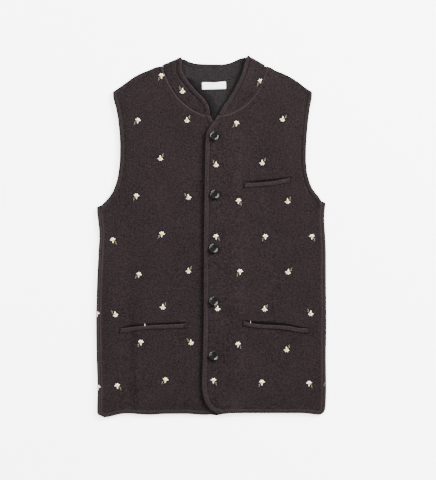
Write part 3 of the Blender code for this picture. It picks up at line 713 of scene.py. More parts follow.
# %% Sections of the collar
Band = namedtuple("Band", "edge_x edge_height seam_x seam_height lift")
COLLAR_LEFT = [
    Band(-2.5, 598.6, -6.0, 597.5, 0.0), Band(-3.2, 604.6, -17.0, 600.2, 0.2),
    Band(-4.5, 612.0, -28.5, 604.0, 0.4), Band(-8.5, 622.0, -34.5, 607.2, 0.8),
    Band(-14.5, 630.0, -39.5, 610.4, 1.1), Band(-22.5, 638.0, -46.5, 615.2, 1.4),
    Band(-30.5, 646.0, -55.5, 623.0, 1.7), Band(-40.5, 658.0, -67.0, 634.0, 2.0),
    Band(-48.5, 668.0, -76.5, 648.6, 2.3), Band(-55.0, 678.0, -84.5, 663.0, 2.6),
    Band(-60.0, 692.0, -92.3, 681.0, 3.0),
]
COLLAR_RIGHT = [
    Band(14.3, 598.6, 17.8, 597.5, 0.0), Band(17.6, 603.6, 27.4, 599.0, 0.2),
    Band(21.5, 610.0, 38.0, 601.2, 0.4), Band(27.5, 620.0, 49.0, 606.8, 0.8),
    Band(33.5, 628.0, 57.5, 612.0, 1.1), Band(39.5, 638.0, 67.5, 619.2, 1.4),
    Band(47.0, 650.0, 80.0, 631.0, 1.7), Band(53.5, 664.0, 91.0, 646.5, 2.0),
    Band(59.5, 676.0, 98.8, 661.0, 2.3), Band(63.5, 688.0, 104.2, 676.0, 2.6),
    Band(67.3, 702.0, 107.2, 687.5, 3.0),
]
FOLD_LEFT = Band(-60.2, 713.8, -97.5, 698.0, 0.0)
FOLD_RIGHT = Band(73.1, 717.4, 108.1, 697.4, 0.0)
COLLAR_BACK = [
    Band(-52.5, 708.6, -82.5, 685.0, 0.0), Band(-42.5, 704.0, -62.5, 675.5, 0.0),
    Band(-31.5, 701.0, -43.0, 669.8, 0.0), Band(-16.0, 699.9, -20.0, 667.0, 0.0),
    Band(3.5, 699.3, 4.5, 666.0, 0.0), Band(22.0, 699.3, 29.5, 667.0, 0.0),
    Band(36.5, 702.0, 51.0, 671.0, 0.0), Band(48.0, 706.6, 69.0, 677.5, 0.0),
    Band(58.0, 711.2, 86.0, 685.6, 0.0),
]
FOLD_LOW = 1.3
FOLD_HIGH = 2.9
FOLD_STEPS = 11


def flat_pairs(bands):
    """Free edge and seam of each section, as seen from above."""
    return [(Vector((band.edge_x, band.edge_height, 0)), Vector((band.seam_x, band.seam_height, 0)))
            for band in bands]


def seam_line(pairs):
    """The neck seam's points, just clear of the collar."""
    points = []
    for k, (free, seam) in enumerate(pairs):
        run = pairs[min(k + 1, len(pairs) - 1)][1] - pairs[max(k - 1, 0)][1]
        away = Vector((run.y, -run.x, 0)).normalized()
        if away.dot(seam - free) < 0:
            away = -away
        points.append(seam + away * SEWN_GAP)
    return points


def fold_sections(fold, side):
    """Sections of the collar where it rolls over a shoulder, from the top layer down."""
    free = Vector((fold.edge_x, fold.edge_height, 0))
    seam = Vector((fold.seam_x, fold.seam_height, 0))
    along = (free - seam).normalized()
    outward = Vector((-along.y, along.x, 0)) * (-side)
    sections = []
    for k in range(FOLD_STEPS):
        angle = math.pi / 2 - math.pi * k / (FOLD_STEPS - 1)
        pair = []
        for end, radius in ((free, FOLD_HIGH), (seam, FOLD_LOW)):
            point = end - outward * (radius + CLOTH / 2) + outward * radius * math.cos(angle)
            point.z = CLOTH / 2 + radius * (1.0 + math.sin(angle))
            pair.append(point)
        sections.append((pair[0], pair[1], outward * math.cos(angle) + UP * math.sin(angle)))
    return sections


def band_sections(table, middle):
    sections = []
    for band in table:
        seam_z = middle(band.seam_x, band.seam_height)
        free = Vector((band.edge_x, band.edge_height, seam_z + band.lift))
        sections.append((free, Vector((band.seam_x, band.seam_height, seam_z)), UP))
    return sections


def smooth_line(stations, points):
    """A smooth curve through points, one monotone curve for each coordinate."""
    curves = [through(stations, [point[axis] for point in points]) for axis in range(3)]
    return lambda station: Vector([curve(station) for curve in curves])


print("collar sections:", len(COLLAR_LEFT) + len(COLLAR_BACK) + len(COLLAR_RIGHT) + 2 * FOLD_STEPS)

# %% [markdown]
# ## The back panel
# The back lies with its outside down. At each side it is rolled up and over, and it ends at the
# side seam on top, six millimetres in from the outline, which is why the rim of the gilet looks
# plump. A painted highlight pales the roll and the turned edges. `rolled` gives the place and the
# inward direction at a distance along that path. Inside the neck, the cloth beside the left half
# of the collar lies in its shade, so painted shade darkens it there.

# %% The back panel
BACK_HEM_UP = 0.8
BACK_HEM_FLAT = 196.0
BACK_HEM_FADE = 16.0
BACK_HEM_PEEP = 3.6
BACK_HEM_PEEP_X = 11.0
BACK_HEM_PEEP_WIDTH = 13.0
UNDERARM_TURN = 10.0
UNDERARM_STEP = 1.1
UNDERARM_MARGIN = 3.0
BACK_MIDDLE = 440.0
BACK_STEP = 5.0
BACK_TOP_STEP = 4.0
BACK_GROOVE = 0.7
# Painted shade inside the neck: how dark, and how far from the left half of the collar it reaches.
PAINTED_SHADE_AMOUNT = 0.88
PAINTED_SHADE_REACH = 21.0
BACK_SIDE = (0.0, 0.25, 0.7, 1.3, 2.0, 2.8, 3.6, 4.4, 5.2, 6.0, 6.8, 7.6, 8.4, 9.2, 10.4, 12.4, 16.0,
             20.0, 24.0)


def rolled(side, along, turn):
    """Place and inward direction along the back: flat, round the fold, back over the top."""
    radius = (CLOTH + SIDE_AIR) / 2
    bend = math.pi * radius
    if along <= turn:
        return side * along, CLOTH / 2, UP
    if along <= turn + bend:
        angle = (along - turn) / radius
        inward = Vector((-side * math.sin(angle), 0, math.cos(angle)))
        return side * turn - inward.x * radius, CLOTH / 2 + radius * (1 - inward.z), inward
    return side * (turn - (along - turn - bend)), CLOTH / 2 + 2 * radius, -UP


def back_reach(side, height):
    """Length of cloth from the middle to the back's edge, and where its fold starts."""
    radius = (CLOTH + SIDE_AIR) / 2
    outline = side_left if side < 0 else side_right
    armhole = armhole_left if side < 0 else armhole_right
    underarm = LEFT_UNDERARM if side < 0 else RIGHT_UNDERARM
    turn = abs(outline(min(height, underarm))) - radius - CLOTH / 2
    folded = turn + math.pi * radius + SEAM_INSET - SEWN_GAP - radius - CLOTH / 2
    if height <= underarm:
        return folded, turn
    flat = abs(armhole(height)) - BACK_INSET
    return mix(folded, flat, smooth((height - underarm) / UNDERARM_TURN)), turn


def back_hem(x, height):
    peep = BACK_HEM_PEEP * bump_at(x, BACK_HEM_PEEP_X, BACK_HEM_PEEP_WIDTH)
    up = BACK_HEM_UP * (1.0 - smooth((abs(x) - BACK_HEM_FLAT) / BACK_HEM_FADE))
    return (front_hem(x) + up - peep) * (1.0 - smooth(height / HEM_REACH))


def back_neck():
    """Upper edge of the back between the shoulders, read from the collar's neck seam."""
    points = [Vector((SHOULDER_LEFT[-1].x, SHOULDER_LEFT[-1].height - BACK_INSET, 0))]
    points += seam_line(flat_pairs(COLLAR_BACK))
    points.append(Vector((SHOULDER_RIGHT[0].x, SHOULDER_RIGHT[0].height - BACK_INSET, 0)))
    return through([point.x for point in points], [point.y for point in points])


neck_line = back_neck()


def back_top(x):
    if x < SHOULDER_LEFT[-1].x or x > SHOULDER_RIGHT[0].x:
        return shoulder_height(x) - BACK_INSET
    return neck_line(x)


def back_row(height, middle_shares):
    """Places and inward directions across the back at one height."""
    reach, turn = back_reach(-1, height)
    left = [rolled(-1, reach - step, turn) for step in BACK_SIDE]
    reach, turn = back_reach(1, height)
    right = [rolled(1, reach - step, turn) for step in reversed(BACK_SIDE)]
    start, end = left[-1][0], right[0][0]
    middle = [(mix(start, end, share), CLOTH / 2, UP) for share in middle_shares]
    return left + middle + right


def back_places():
    """Rows of (place, inward direction) from the hem to the neck seam."""
    count = round(BACK_MIDDLE / BACK_STEP)
    shares = [k / count for k in range(1, count)]
    low = LEFT_UNDERARM - UNDERARM_MARGIN
    high = RIGHT_UNDERARM + UNDERARM_TURN + UNDERARM_MARGIN
    heights = edge_stations(COLLAR_TIP, BACK_STEP, NEAR_TURNED, (0.0,))
    heights = [height for height in heights if not low < height < high]
    finer = round((high - low) / UNDERARM_STEP)
    heights += [mix(low, high, k / finer) for k in range(finer + 1)]
    rows = []
    for height in sorted(heights):
        rows.append([(Vector((x, height + back_hem(x, height), z)), inward)
                     for x, z, inward in back_row(height, shares)])
    base = rows[-1]
    start, end = SHOULDER_LEFT[0].x + BACK_INSET, SHOULDER_RIGHT[-1].x - BACK_INSET
    tops = [start + step for step in BACK_SIDE]
    tops += [mix(start + BACK_SIDE[-1], end - BACK_SIDE[-1], share) for share in shares]
    tops += [end - step for step in reversed(BACK_SIDE)]
    height_left = back_top(0.0) - COLLAR_TIP
    for station in edge_stations(height_left, BACK_TOP_STEP, (0.0,), NEAR_SEAM)[1:]:
        share = station / height_left
        row = []
        for (low, inward), x in zip(base, tops):
            high = Vector((x, back_top(x), CLOTH / 2))
            row.append((low.lerp(high, share), UP))
        rows.append(row)
    return rows


def make_back():
    rows = back_places()
    hem = [place.xy.to_3d() for place, inward in rows[0]]
    holes = []
    for side, column in ((-1, 0), (1, -1)):
        underarm = (LEFT_UNDERARM if side < 0 else RIGHT_UNDERARM) + UNDERARM_TURN
        holes.append([row[column][0].xy.to_3d() for row in rows if row[column][0].y > underarm])
    top = [place.xy.to_3d() for place, inward in rows[-1]]
    turned_rulers = [edge_ruler(line) for line in [hem] + holes]
    top_ruler = edge_ruler(top)
    collar_ruler = edge_ruler([Vector((band.edge_x, band.edge_height, 0)) for band in COLLAR_LEFT])
    outside, inside, highlights, shade = [], [], [], []
    for row in rows:
        out_row, in_row, highlight_row, shade_row = [], [], [], []
        for j, (place, inward) in enumerate(row):
            steps = min(j, len(row) - 1 - j)
            across = BACK_SIDE[steps] if steps < len(BACK_SIDE) else BACK_SIDE[-1]
            gaps = [ruler(place.x, place.y) for ruler in turned_rulers]
            gap = min(gaps)[0]
            near = min(gap, across, top_ruler(place.x, place.y)[0])
            half = CLOTH / 2 * rounding(near)
            down = -inward.z
            groove = GROOVE_DEPTH * BACK_GROOVE * bump_at(gap, STITCH_LINE, GROOVE_WIDTH)
            groove *= max(0.0, inward.z)
            lift = BACK_REST * max(0.0, inward.z)
            out_row.append(place - inward * (half - groove - lift))
            in_row.append(place + inward * half)
            # Painted highlight on the roll: paler where it faces sideways and where it lies on top.
            rolled_highlight = max(ROLL_HIGHLIGHT * abs(inward.x), TOP_HIGHLIGHT * max(0.0, down))
            highlight_row.append(max(rolled_highlight, edge_highlight(gap)))
            # Painted shade beside the left half of the collar, on the inside face.
            from_collar = collar_ruler(place.x, place.y)[0]
            shade_row.append(PAINTED_SHADE_AMOUNT * (1.0 - smooth(from_collar / PAINTED_SHADE_REACH)))
        outside.append(out_row)
        inside.append(in_row)
        highlights.append(highlight_row)
        shade.append(shade_row)
    cloth = cloth_wall("back_cloth", outside, inside, [OUTSIDE, INSIDE], highlights, shade)
    return cloth, hem, holes


back, BACK_HEM_LINE, BACK_ARMHOLE_LINES = make_back()

# %% [markdown]
# ## The fronts
# Each front is a net whose rows run from the side seam or armhole to the front edge or neck seam,
# and whose points crowd together near the edges, where the cloth is turned in and topstitched.
# A point's height is the lie of the cloth, plus the turned edge, minus the stitched groove, minus
# the mouth of a pocket. Low ridges run beside the side seam and the neck seam, where the seam's
# allowances lie inside, and painted highlight pales them and the turned edges. The hem has a
# second stitched line above the first, with a painted highlight just above it.

# %% The fronts
FRONT_STEP = 4.2
NECK_ROWS = 30
POCKET_STEP = 1.3
POCKET_BANDS = ((159.0, 190.0), (450.0, 478.0))
FRONT_MIDDLE = 228.0
NEAR_SHARE = 0.4
HEM_SECOND_LINE = 12.2
HEM_GROOVE, HEM_GROOVE_WIDTH = 0.6, 1.2
SEAM_FROM, SEAM_FADE = 1.0, 5.0
SEAM_DIP, SEAM_DIP_WIDTH = 0.6, 3.0
SIDE_SEAM_PAST = 4.0
SIDE_RIDGE = 0.5
SIDE_RIDGE_PLACE = 2.4
SIDE_RIDGE_WIDTH = 1.8
# Painted highlight beside the side seam, on the neck ridge and just above the hem's second row.
SIDE_HIGHLIGHT = (0.42, 0.22)
SIDE_HIGHLIGHT_WIDTH = 2.2
NECK_RIDGE = 0.75
NECK_RIDGE_PLACE = 2.6
NECK_RIDGE_WIDTH = 1.5
NECK_HIGHLIGHT = 0.32
HEM_HIGHLIGHT = 0.16
HEM_HIGHLIGHT_ABOVE, HEM_HIGHLIGHT_WIDTH = 1.6, 1.0
LAST_SHARES = (0.975, 0.984, 0.991, 0.9965, 1.0)


def front_heights():
    """Heights of the rows below the collar, closer together at the hem and at the pockets."""
    heights = edge_stations(COLLAR_TIP, FRONT_STEP, NEAR_TURNED, (0.0,))
    kept = [h for h in heights if not any(low < h < high for low, high in POCKET_BANDS)]
    for low, high in POCKET_BANDS:
        count = round((high - low) / POCKET_STEP)
        kept += [mix(low, high, k / count) for k in range(count + 1)]
    return sorted(kept)


def front_ends(side):
    """Both ends of each row, and how far the row has risen towards the shoulder."""
    outer = outer_left if side < 0 else outer_right
    inner = under_edge if side < 0 else front_edge
    collar = COLLAR_LEFT if side < 0 else COLLAR_RIGHT
    fold = FOLD_LEFT if side < 0 else FOLD_RIGHT
    ends = [(Vector((outer(h), h, 0)), Vector((inner(h), h, 0)), 0.0) for h in front_heights()]
    free, seam = fold_sections(fold, side)[0][:2]
    points = seam_line(flat_pairs(collar) + [(free.xy.to_3d(), seam.xy.to_3d())])
    points.insert(0, ends[-1][1])
    lengths = [0.0]
    for before, after in zip(points[:-1], points[1:]):
        lengths.append(lengths[-1] + (after - before).length)
    seam_at = smooth_line(lengths, points)
    shares = [k / NECK_ROWS for k in range(1, NECK_ROWS)] + list(LAST_SHARES)
    for share in shares:
        height = mix(COLLAR_TIP, SHOULDER_TIP, share)
        ends.append((Vector((outer(height), height, 0)), seam_at(lengths[-1] * share), share))
    return ends


def front_places(side):
    """Rows of places in plan, from the hem to the shoulder seam."""
    ends = front_ends(side)
    last_start, last_end = ends[-1][:2]
    rows = []
    for start, end, rise in ends:
        length = (end - start).length
        squeeze = min(1.0, NEAR_SHARE * length / NEAR_TURNED[-1])
        near = [step * squeeze for step in NEAR_TURNED]
        between = round((FRONT_MIDDLE - 2 * NEAR_TURNED[-1]) / FRONT_STEP)
        stations = near + [mix(near[-1], length - near[-1], k / between) for k in range(1, between)]
        stations += [length - step for step in reversed(near)]
        row = []
        for station in stations:
            place = start.lerp(end, station / length)
            top = last_start.lerp(last_end, station / length)
            place.y += rise * (shoulder_height(top.x) - top.y)
            place.y += front_hem(place.x) * (1.0 - smooth(place.y / HEM_REACH))
            row.append(place)
        rows.append(row)
    return rows


def front_lines(side, rows):
    """The turned edges and the sewn edges of a front."""
    underarm = LEFT_UNDERARM if side < 0 else RIGHT_UNDERARM
    outer = [row[0] for row in rows]
    inner = [row[-1] for row in rows]
    opening = rows[0] + [place for place in inner if 0.0 < place.y <= COLLAR_TIP]
    armhole = [place for place in outer if place.y >= underarm]
    side_seam = [place for place in outer if place.y <= underarm + SIDE_SEAM_PAST]
    neck = [place for place in inner if place.y >= COLLAR_TIP]
    return {"opening": opening, "armhole": armhole, "side": side_seam, "neck": neck,
            "shoulder": rows[-1]}


def make_front(name, side, middle):
    rows = front_places(side)
    lines = front_lines(side, rows)
    turned = [edge_ruler(lines["opening"]), edge_ruler(lines["armhole"])]
    sewn = [edge_ruler(lines[kind]) for kind in ("neck", "shoulder")]
    side_ruler = edge_ruler(lines["side"])
    neck_ruler = edge_ruler(lines["neck"])
    side_highlight = SIDE_HIGHLIGHT[0] if side < 0 else SIDE_HIGHLIGHT[1]
    outside, inside, highlights = [], [], []
    for row in rows:
        out_row, in_row, highlight_row = [], [], []
        for place in row:
            x, height = place.x, place.y
            gap, along = min(ruler(x, height) for ruler in turned)
            side_gap = side_ruler(x, height)[0]
            seam_gap = min([side_gap] + [ruler(x, height)[0] for ruler in sewn])
            base = middle(x, height)
            half = CLOTH / 2 * rounding(min(gap, seam_gap))
            from_hem = height - front_hem(x)
            over = turned_edge(gap, along) * smooth((seam_gap + SEAM_FROM) / SEAM_FADE)
            over -= GROOVE_DEPTH * HEM_GROOVE * bump_at(from_hem, HEM_SECOND_LINE, HEM_GROOVE_WIDTH)
            over -= SEAM_DIP * bump_at(seam_gap, 0.0, SEAM_DIP_WIDTH)
            over += SIDE_RIDGE * bump_at(side_gap, SIDE_RIDGE_PLACE, SIDE_RIDGE_WIDTH)
            neck_ridge = bump_at(neck_ruler(x, height)[0], NECK_RIDGE_PLACE, NECK_RIDGE_WIDTH)
            over += NECK_RIDGE * neck_ridge
            over -= pocket_trough(x, height)
            out_row.append(Vector((x, height, base + half + over)))
            in_row.append(Vector((x, height, base - half)))
            # Painted highlight: the turned edge, the side seam's ridge, the neck ridge and a line above
            # the hem.
            side_highlight_here = side_highlight * bump_at(side_gap, SIDE_RIDGE_PLACE, SIDE_HIGHLIGHT_WIDTH)
            wear_and_highlight = max(edge_highlight(gap), side_highlight_here, NECK_HIGHLIGHT * neck_ridge)
            wear_and_highlight += HEM_HIGHLIGHT * bump_at(from_hem, HEM_SECOND_LINE + HEM_HIGHLIGHT_ABOVE, HEM_HIGHLIGHT_WIDTH)
            highlight_row.append(wear_and_highlight)
        outside.append(out_row)
        inside.append(in_row)
        highlights.append(highlight_row)
    return cloth_wall(name, outside, inside, [OUTSIDE, INSIDE], highlights), lines


right_front, RIGHT_LINES = make_front("right_front_cloth", -1, lower_front_middle)
left_front, LEFT_LINES = make_front("left_front_cloth", 1, upper_front_middle)

# %% [markdown]
# ## The collar
# The net of the collar has a row for every few millimetres round the neck, drawn through the
# sections above by smooth curves. Its free edge is turned in and stitched like the front's, and
# the stitched groove is deeper on the right. A few fine creases run beside it, strongest at the
# shoulders, where the strip was folded flat. The net has extra columns beside the stitched line,
# because a groove narrower than the net's meshes would be lost.

# %% The collar
COLLAR_STEP = 3.6
COLLAR_STITCH = 9.4
COLLAR_STITCH_RIGHT = 7.6
COLLAR_NARROW = 22.0
SEAM_TUCK = 0.16
COLLAR_COLUMNS = 26
COLLAR_EDGE = (0.0, 0.25, 0.7, 1.3, 2.0, 3.4, 5.0)
BESIDE_STITCH = (-1.5, -0.75, 0.0, 0.75, 1.5)
COLLAR_SEWN = (0.0, 0.25, 0.7, 1.3, 2.1, 3.4)
COLLAR_GROOVE = 1.1
COLLAR_GROOVE_RIGHT = 1.7
COLLAR_CHANGE = 40.0
GROOVE_FOLDED = 0.3
BEHIND_GROOVE = 0.6
COLLAR_PUCKER = (5.0, 3.0)
STITCHED_SHARE = 0.55
CREASE = 0.5
CREASE_WIDTH = 1.0
# Painted highlight along the creases.
CREASE_HIGHLIGHT = 0.16
CREASES_LEFT = (13.5, 18.0)
CREASES_RIGHT = (10.4, 13.4, 17.0, 20.6)
CREASE_FROM = 600.0
CREASE_FULL = 650.0


def collar_sections():
    """All sections from the tip of the left end to the tip of the right end."""
    sections = band_sections(COLLAR_LEFT, lower_front_middle)
    sections += fold_sections(FOLD_LEFT, -1)
    for band in COLLAR_BACK:
        sections.append((Vector((band.edge_x, band.edge_height, CLOTH / 2)),
                         Vector((band.seam_x, band.seam_height, CLOTH / 2)), -UP))
    sections += list(reversed(fold_sections(FOLD_RIGHT, 1)))
    sections += list(reversed(band_sections(COLLAR_RIGHT, upper_front_middle)))
    return sections


def finer_sections(sections):
    """The same strip with a section every few millimetres."""
    stations = [0.0]
    for before, after in zip(sections[:-1], sections[1:]):
        run = ((after[0] - before[0]).length + (after[1] - before[1]).length) / 2
        stations.append(stations[-1] + run)
    lines = [smooth_line(stations, [section[k] for section in sections]) for k in range(3)]
    finer = []
    for start, end in zip(stations[:-1], stations[1:]):
        count = max(1, round((end - start) / COLLAR_STEP))
        finer += [mix(start, end, k / count) for k in range(count)]
    finer.append(stations[-1])
    return [(lines[0](s), lines[1](s), lines[2](s).normalized(), s) for s in finer]


def rightward(seam):
    """0 on the left half of the collar and 1 on the right, with a soft change between them."""
    return smooth((seam.x + COLLAR_CHANGE / 2) / COLLAR_CHANGE)


def collar_stitch(seam):
    """Distance of the stitched line from the collar's free edge."""
    return mix(COLLAR_STITCH, COLLAR_STITCH_RIGHT, rightward(seam))


def collar_creases(from_edge, seam):
    """Fine creases beside the stitched line, strongest at the shoulders."""
    places = CREASES_LEFT if seam.x < 0 else CREASES_RIGHT
    near_shoulder = smooth((seam.y - CREASE_FROM) / (CREASE_FULL - CREASE_FROM))
    return near_shoulder * sum(bump_at(from_edge, place, CREASE_WIDTH) for place in places)


def collar_face(width, from_edge, seam, facing, along):
    """Height that the stitching and the creases add to the outside of the collar."""
    wide = smooth((width - COLLAR_NARROW * 0.5) / (COLLAR_NARROW * 0.5))
    up = max(0.0, facing.z)
    stitch = collar_stitch(seam)
    band = TURNED_EXTRA * up * (1.0 - smooth((from_edge - stitch + BAND_INSET) / TURNED_FADE))
    depth = mix(COLLAR_GROOVE, COLLAR_GROOVE_RIGHT, rightward(seam))
    groove = depth * bump_at(from_edge, stitch, GROOVE_WIDTH) * mix(GROOVE_FOLDED, 1.0, up)
    folds = CREASE * up * collar_creases(from_edge, seam)
    wave = math.sin(2.0 * math.pi * along / PUCKER_LENGTH) * PUCKER
    return wide * (band - groove + folds + wave * up * bump_at(from_edge, *COLLAR_PUCKER))


def make_collar():
    outside, inside, highlights, stitches = [], [], [], []
    for free, seam, facing, along in finer_sections(collar_sections()):
        seam = seam + (seam - free).normalized() * SEAM_TUCK * max(0.0, -facing.z)
        width = (free - seam).length
        stitch = collar_stitch(seam)
        squeeze = min(1.0, STITCHED_SHARE * width / (stitch + BESIDE_STITCH[-1]))
        edge = [step * squeeze for step in COLLAR_EDGE]
        edge += [(stitch + step) * squeeze for step in BESIDE_STITCH]
        sewn = [step * squeeze for step in COLLAR_SEWN]
        between = [mix(edge[-1], width - sewn[-1], k / COLLAR_COLUMNS)
                   for k in range(1, COLLAR_COLUMNS)]
        steps = edge + between + [width - step for step in reversed(sewn)]
        out_row, in_row, highlight_row = [], [], []
        for step in reversed(steps):
            place = free.lerp(seam, step / width)
            half = CLOTH / 2 * rounding(min(step, width - step))
            over = collar_face(width, step, seam, facing, along)
            in_groove = GROOVE_DEPTH * BEHIND_GROOVE * bump_at(step, stitch, GROOVE_WIDTH)
            out_row.append(place + facing * (half + over))
            in_row.append(place - facing * (half - in_groove * max(0.0, -facing.z)))
            # Painted highlight on the edge and the creases, only where the outside faces up.
            wear_and_highlight = edge_highlight(step) + CREASE_HIGHLIGHT * collar_creases(step, seam)
            highlight_row.append(wear_and_highlight * max(0.0, facing.z))
        if width > COLLAR_NARROW:
            stitches.append((free.lerp(seam, stitch / width), facing))
        outside.append(out_row)
        inside.append(in_row)
        highlights.append(highlight_row)
    return cloth_wall("collar_cloth", outside, inside, [OUTSIDE, INSIDE], highlights), stitches


collar, COLLAR_STITCHES = make_collar()

# %% [markdown]
# ## Welts and pocket linings
# A welt is a narrow folded strip. Its lower edge is sewn to the front, its ends are stitched down,
# and its upper edge is a soft fold that stands a little away from the mouth. Behind it lies the
# pocket lining, a lens of cloth down in the trough, coloured near black as painted shade for the
# inside of the mouth. A painted highlight pales the welt, most towards its fold.

# %% Welts and linings
WELT_THICK = 1.65
WELT_STEP = 2.4
WELT_ENDS = (0.0, 0.4, 1.0, 1.8)
WELT_END_EASE = 9.0
WELT_CLEAR = 0.08
WELT_ACROSS = (0.0, 0.03, 0.09, 0.18, 0.32, 0.5, 0.68, 0.82, 0.91, 0.97, 1.0)
WELT_STAND = 0.45
WELT_ROOT, WELT_SEAM_REACH = 0.3, 1.6
WELT_FOLD_FROM, WELT_FOLD_REACH = 0.05, 0.9
WELT_TIP, WELT_TIP_REACH = 0.35, 1.2
# Painted highlight on the welt.
WELT_HIGHLIGHT = 0.22
LINING = 0.4
LINING_ACROSS = (0.0, 0.25, 0.5, 0.75, 1.0)
LINING_IN = 0.4
LINING_BELOW, LINING_ABOVE = 2.0, 0.5


def front_top(side, x, height):
    middle = lower_front_middle if side < 0 else upper_front_middle
    return middle(x, height) + CLOTH / 2


def welt_profile(from_bottom, from_top, from_end):
    """Share of the welt's thickness: low at its seam, round at its fold and its ends."""
    seam = mix(WELT_ROOT, 1.0, smooth(from_bottom / WELT_SEAM_REACH))
    fold = math.sqrt(1.0 - (1.0 - min(1.0, from_top / WELT_FOLD_REACH + WELT_FOLD_FROM)) ** 2)
    end = mix(WELT_TIP, 1.0, smooth(from_end / WELT_TIP_REACH))
    return min(seam, fold, end)


def make_welt(name, pocket, side):
    start, end, top, bottom, gape = POCKETS[pocket]
    stations = edge_stations(end - start, WELT_STEP, WELT_ENDS, WELT_ENDS)
    outside, inside, highlights = [], [], []
    for share in WELT_ACROSS:
        out_row, in_row, highlight_row = [], [], []
        for station in stations:
            x = start + station
            tall = top(x) - bottom(x)
            height = bottom(x) + tall * share
            base = front_top(side, x, height)
            from_end = min(station, end - start - station)
            profile = welt_profile(tall * share, tall * (1 - share), from_end)
            ends = smooth(from_end / WELT_END_EASE)
            stand = WELT_CLEAR + WELT_STAND * share ** 3 * ends
            out_row.append(Vector((x, height, base + stand + WELT_THICK * profile)))
            in_row.append(Vector((x, height, base + stand)))
            # Painted highlight on the welt, strongest at its fold and fading at its ends.
            highlight_row.append(WELT_HIGHLIGHT * ends * (0.5 + 0.5 * share))
        outside.append(out_row)
        inside.append(in_row)
        highlights.append(highlight_row)
    return cloth_wall(name, outside, inside, [OUTSIDE, OUTSIDE], highlights)


def make_lining(name, pocket, side):
    start, end, top, bottom, gape = POCKETS[pocket]
    columns = round((end - start) / WELT_STEP)
    outside, inside = [], []
    for share in LINING_ACROSS:
        out_row, in_row = [], []
        for k in range(columns + 1):
            x = mix(start + LINING_IN, end - LINING_IN, k / columns)
            height = mix(top(x) - LINING_BELOW, top(x) + gape(x) + LINING_ABOVE, share)
            z = front_top(side, x, height) - POCKET_DEPTH + LINING
            out_row.append(Vector((x, height, z)))
            in_row.append(Vector((x, height, z - LINING)))
        outside.append(out_row)
        inside.append(in_row)
    # Near-black lining: painted shade inside the mouth.
    return cloth_wall(name, outside, inside, [POCKETING, POCKETING])


POCKET_SIDES = {"chest": 1, "right": -1, "left": 1}
welts, linings = {}, {}
for pocket, side in POCKET_SIDES.items():
    welts[pocket] = make_welt(pocket + "_welt_cloth", pocket, side)
    linings[pocket] = make_lining(pocket + "_pocket_lining", pocket, side)

# %% [markdown]
# ## The label
# The neck label is a short woven tape with nothing on it. It is sewn on at its two ends, so
# between them it bows a little, and its upper edge dips in the middle. Its weave is crossed waves:
# one node group makes them, and the tape's material turns them into relief.

# %% The label
LABEL_LEFT_X, LABEL_RIGHT_X = -18.3, 29.2
LABEL_LEFT_HEIGHT, LABEL_RIGHT_HEIGHT = 655.9, 657.3
LABEL_HALF = 7.1
LABEL_DIP = 1.0
LABEL_THICK = 0.5
LABEL_BOW = 0.5
LABEL_MIDDLE_BOW = 0.4
LABEL_RIM, LABEL_RIM_WIDTH = 0.35, 0.6
LABEL_CLEAR = 0.08
LABEL_COLUMNS = 32
LABEL_ACROSS = (-1.0, -0.98, -0.9, -0.6, -0.3, 0.0, 0.3, 0.6, 0.9, 0.98, 1.0)
TAPE_SHADE = 0.9


def make_weave_group():
    group = bpy.data.node_groups.new("tape weave", "ShaderNodeTree")
    add_socket(group, "Vector", "INPUT", "NodeSocketVector")
    add_socket(group, "Threads", "INPUT", "NodeSocketFloat", 1900.0)
    add_socket(group, "Height", "OUTPUT", "NodeSocketFloat")
    start = group.nodes.new("NodeGroupInput")
    end = group.nodes.new("NodeGroupOutput")
    waves = [add_node(group, "ShaderNodeTexWave",
                      {"Vector": start.outputs["Vector"], "Scale": start.outputs["Threads"],
                       "Distortion": 0.6}, bands_direction=axis) for axis in ("X", "Y")]
    both = add_math(group, "MAXIMUM", waves[0].outputs["Fac"], waves[1].outputs["Fac"])
    group.links.new(both, end.inputs["Height"])
    return group


def make_tape_material():
    material, tree, shader = new_material("label tape", TAPE_COLOUR, 0.62)
    place = add_node(tree, "ShaderNodeTexCoord").outputs["Object"]
    weave = add_node(tree, "ShaderNodeGroup", {}, node_tree=make_weave_group())
    tree.links.new(place, weave.inputs["Vector"])
    tint = mix_colours(tree, weave.outputs["Height"], shaded(TAPE_COLOUR, TAPE_SHADE), TAPE_COLOUR)
    tree.links.new(tint, shader.inputs["Base Color"])
    add_relief(tree, shader, weave.outputs["Height"], 0.3, 0.0001)
    return material


TAPE = make_tape_material()


def make_label():
    outside, inside = [], []
    for across in LABEL_ACROSS:
        out_row, in_row = [], []
        for k in range(LABEL_COLUMNS + 1):
            share = k / LABEL_COLUMNS
            bow = math.sin(math.pi * share)
            x = mix(LABEL_LEFT_X, LABEL_RIGHT_X, share)
            height = mix(LABEL_LEFT_HEIGHT, LABEL_RIGHT_HEIGHT, share) + across * LABEL_HALF
            height -= LABEL_DIP * max(0.0, across) * bow ** 3
            edge = min(share, 1 - share) * (LABEL_RIGHT_X - LABEL_LEFT_X)
            z = CLOTH + LABEL_CLEAR + LABEL_BOW * bow * mix(LABEL_MIDDLE_BOW, 1.0, abs(across))
            edge = min(edge, (1 - abs(across)) * LABEL_HALF)
            round_off = mix(LABEL_RIM, 1.0, smooth(edge / LABEL_RIM_WIDTH))
            in_row.append(Vector((x, height, z)))
            out_row.append(Vector((x, height, z + LABEL_THICK * round_off)))
        outside.append(out_row)
        inside.append(in_row)
    return cloth_wall("label_cloth", outside, inside, [TAPE, TAPE])


label = make_label()

# %% [markdown]
# ## The buttons
# Each button is a turned disc with a raised rim and a dished middle, sewn on through four holes.
# `spin` turns the profile, a Boolean drills the holes, and strands of thread cross from hole to
# hole. The button's place and the height that it stands at are read from the frame.

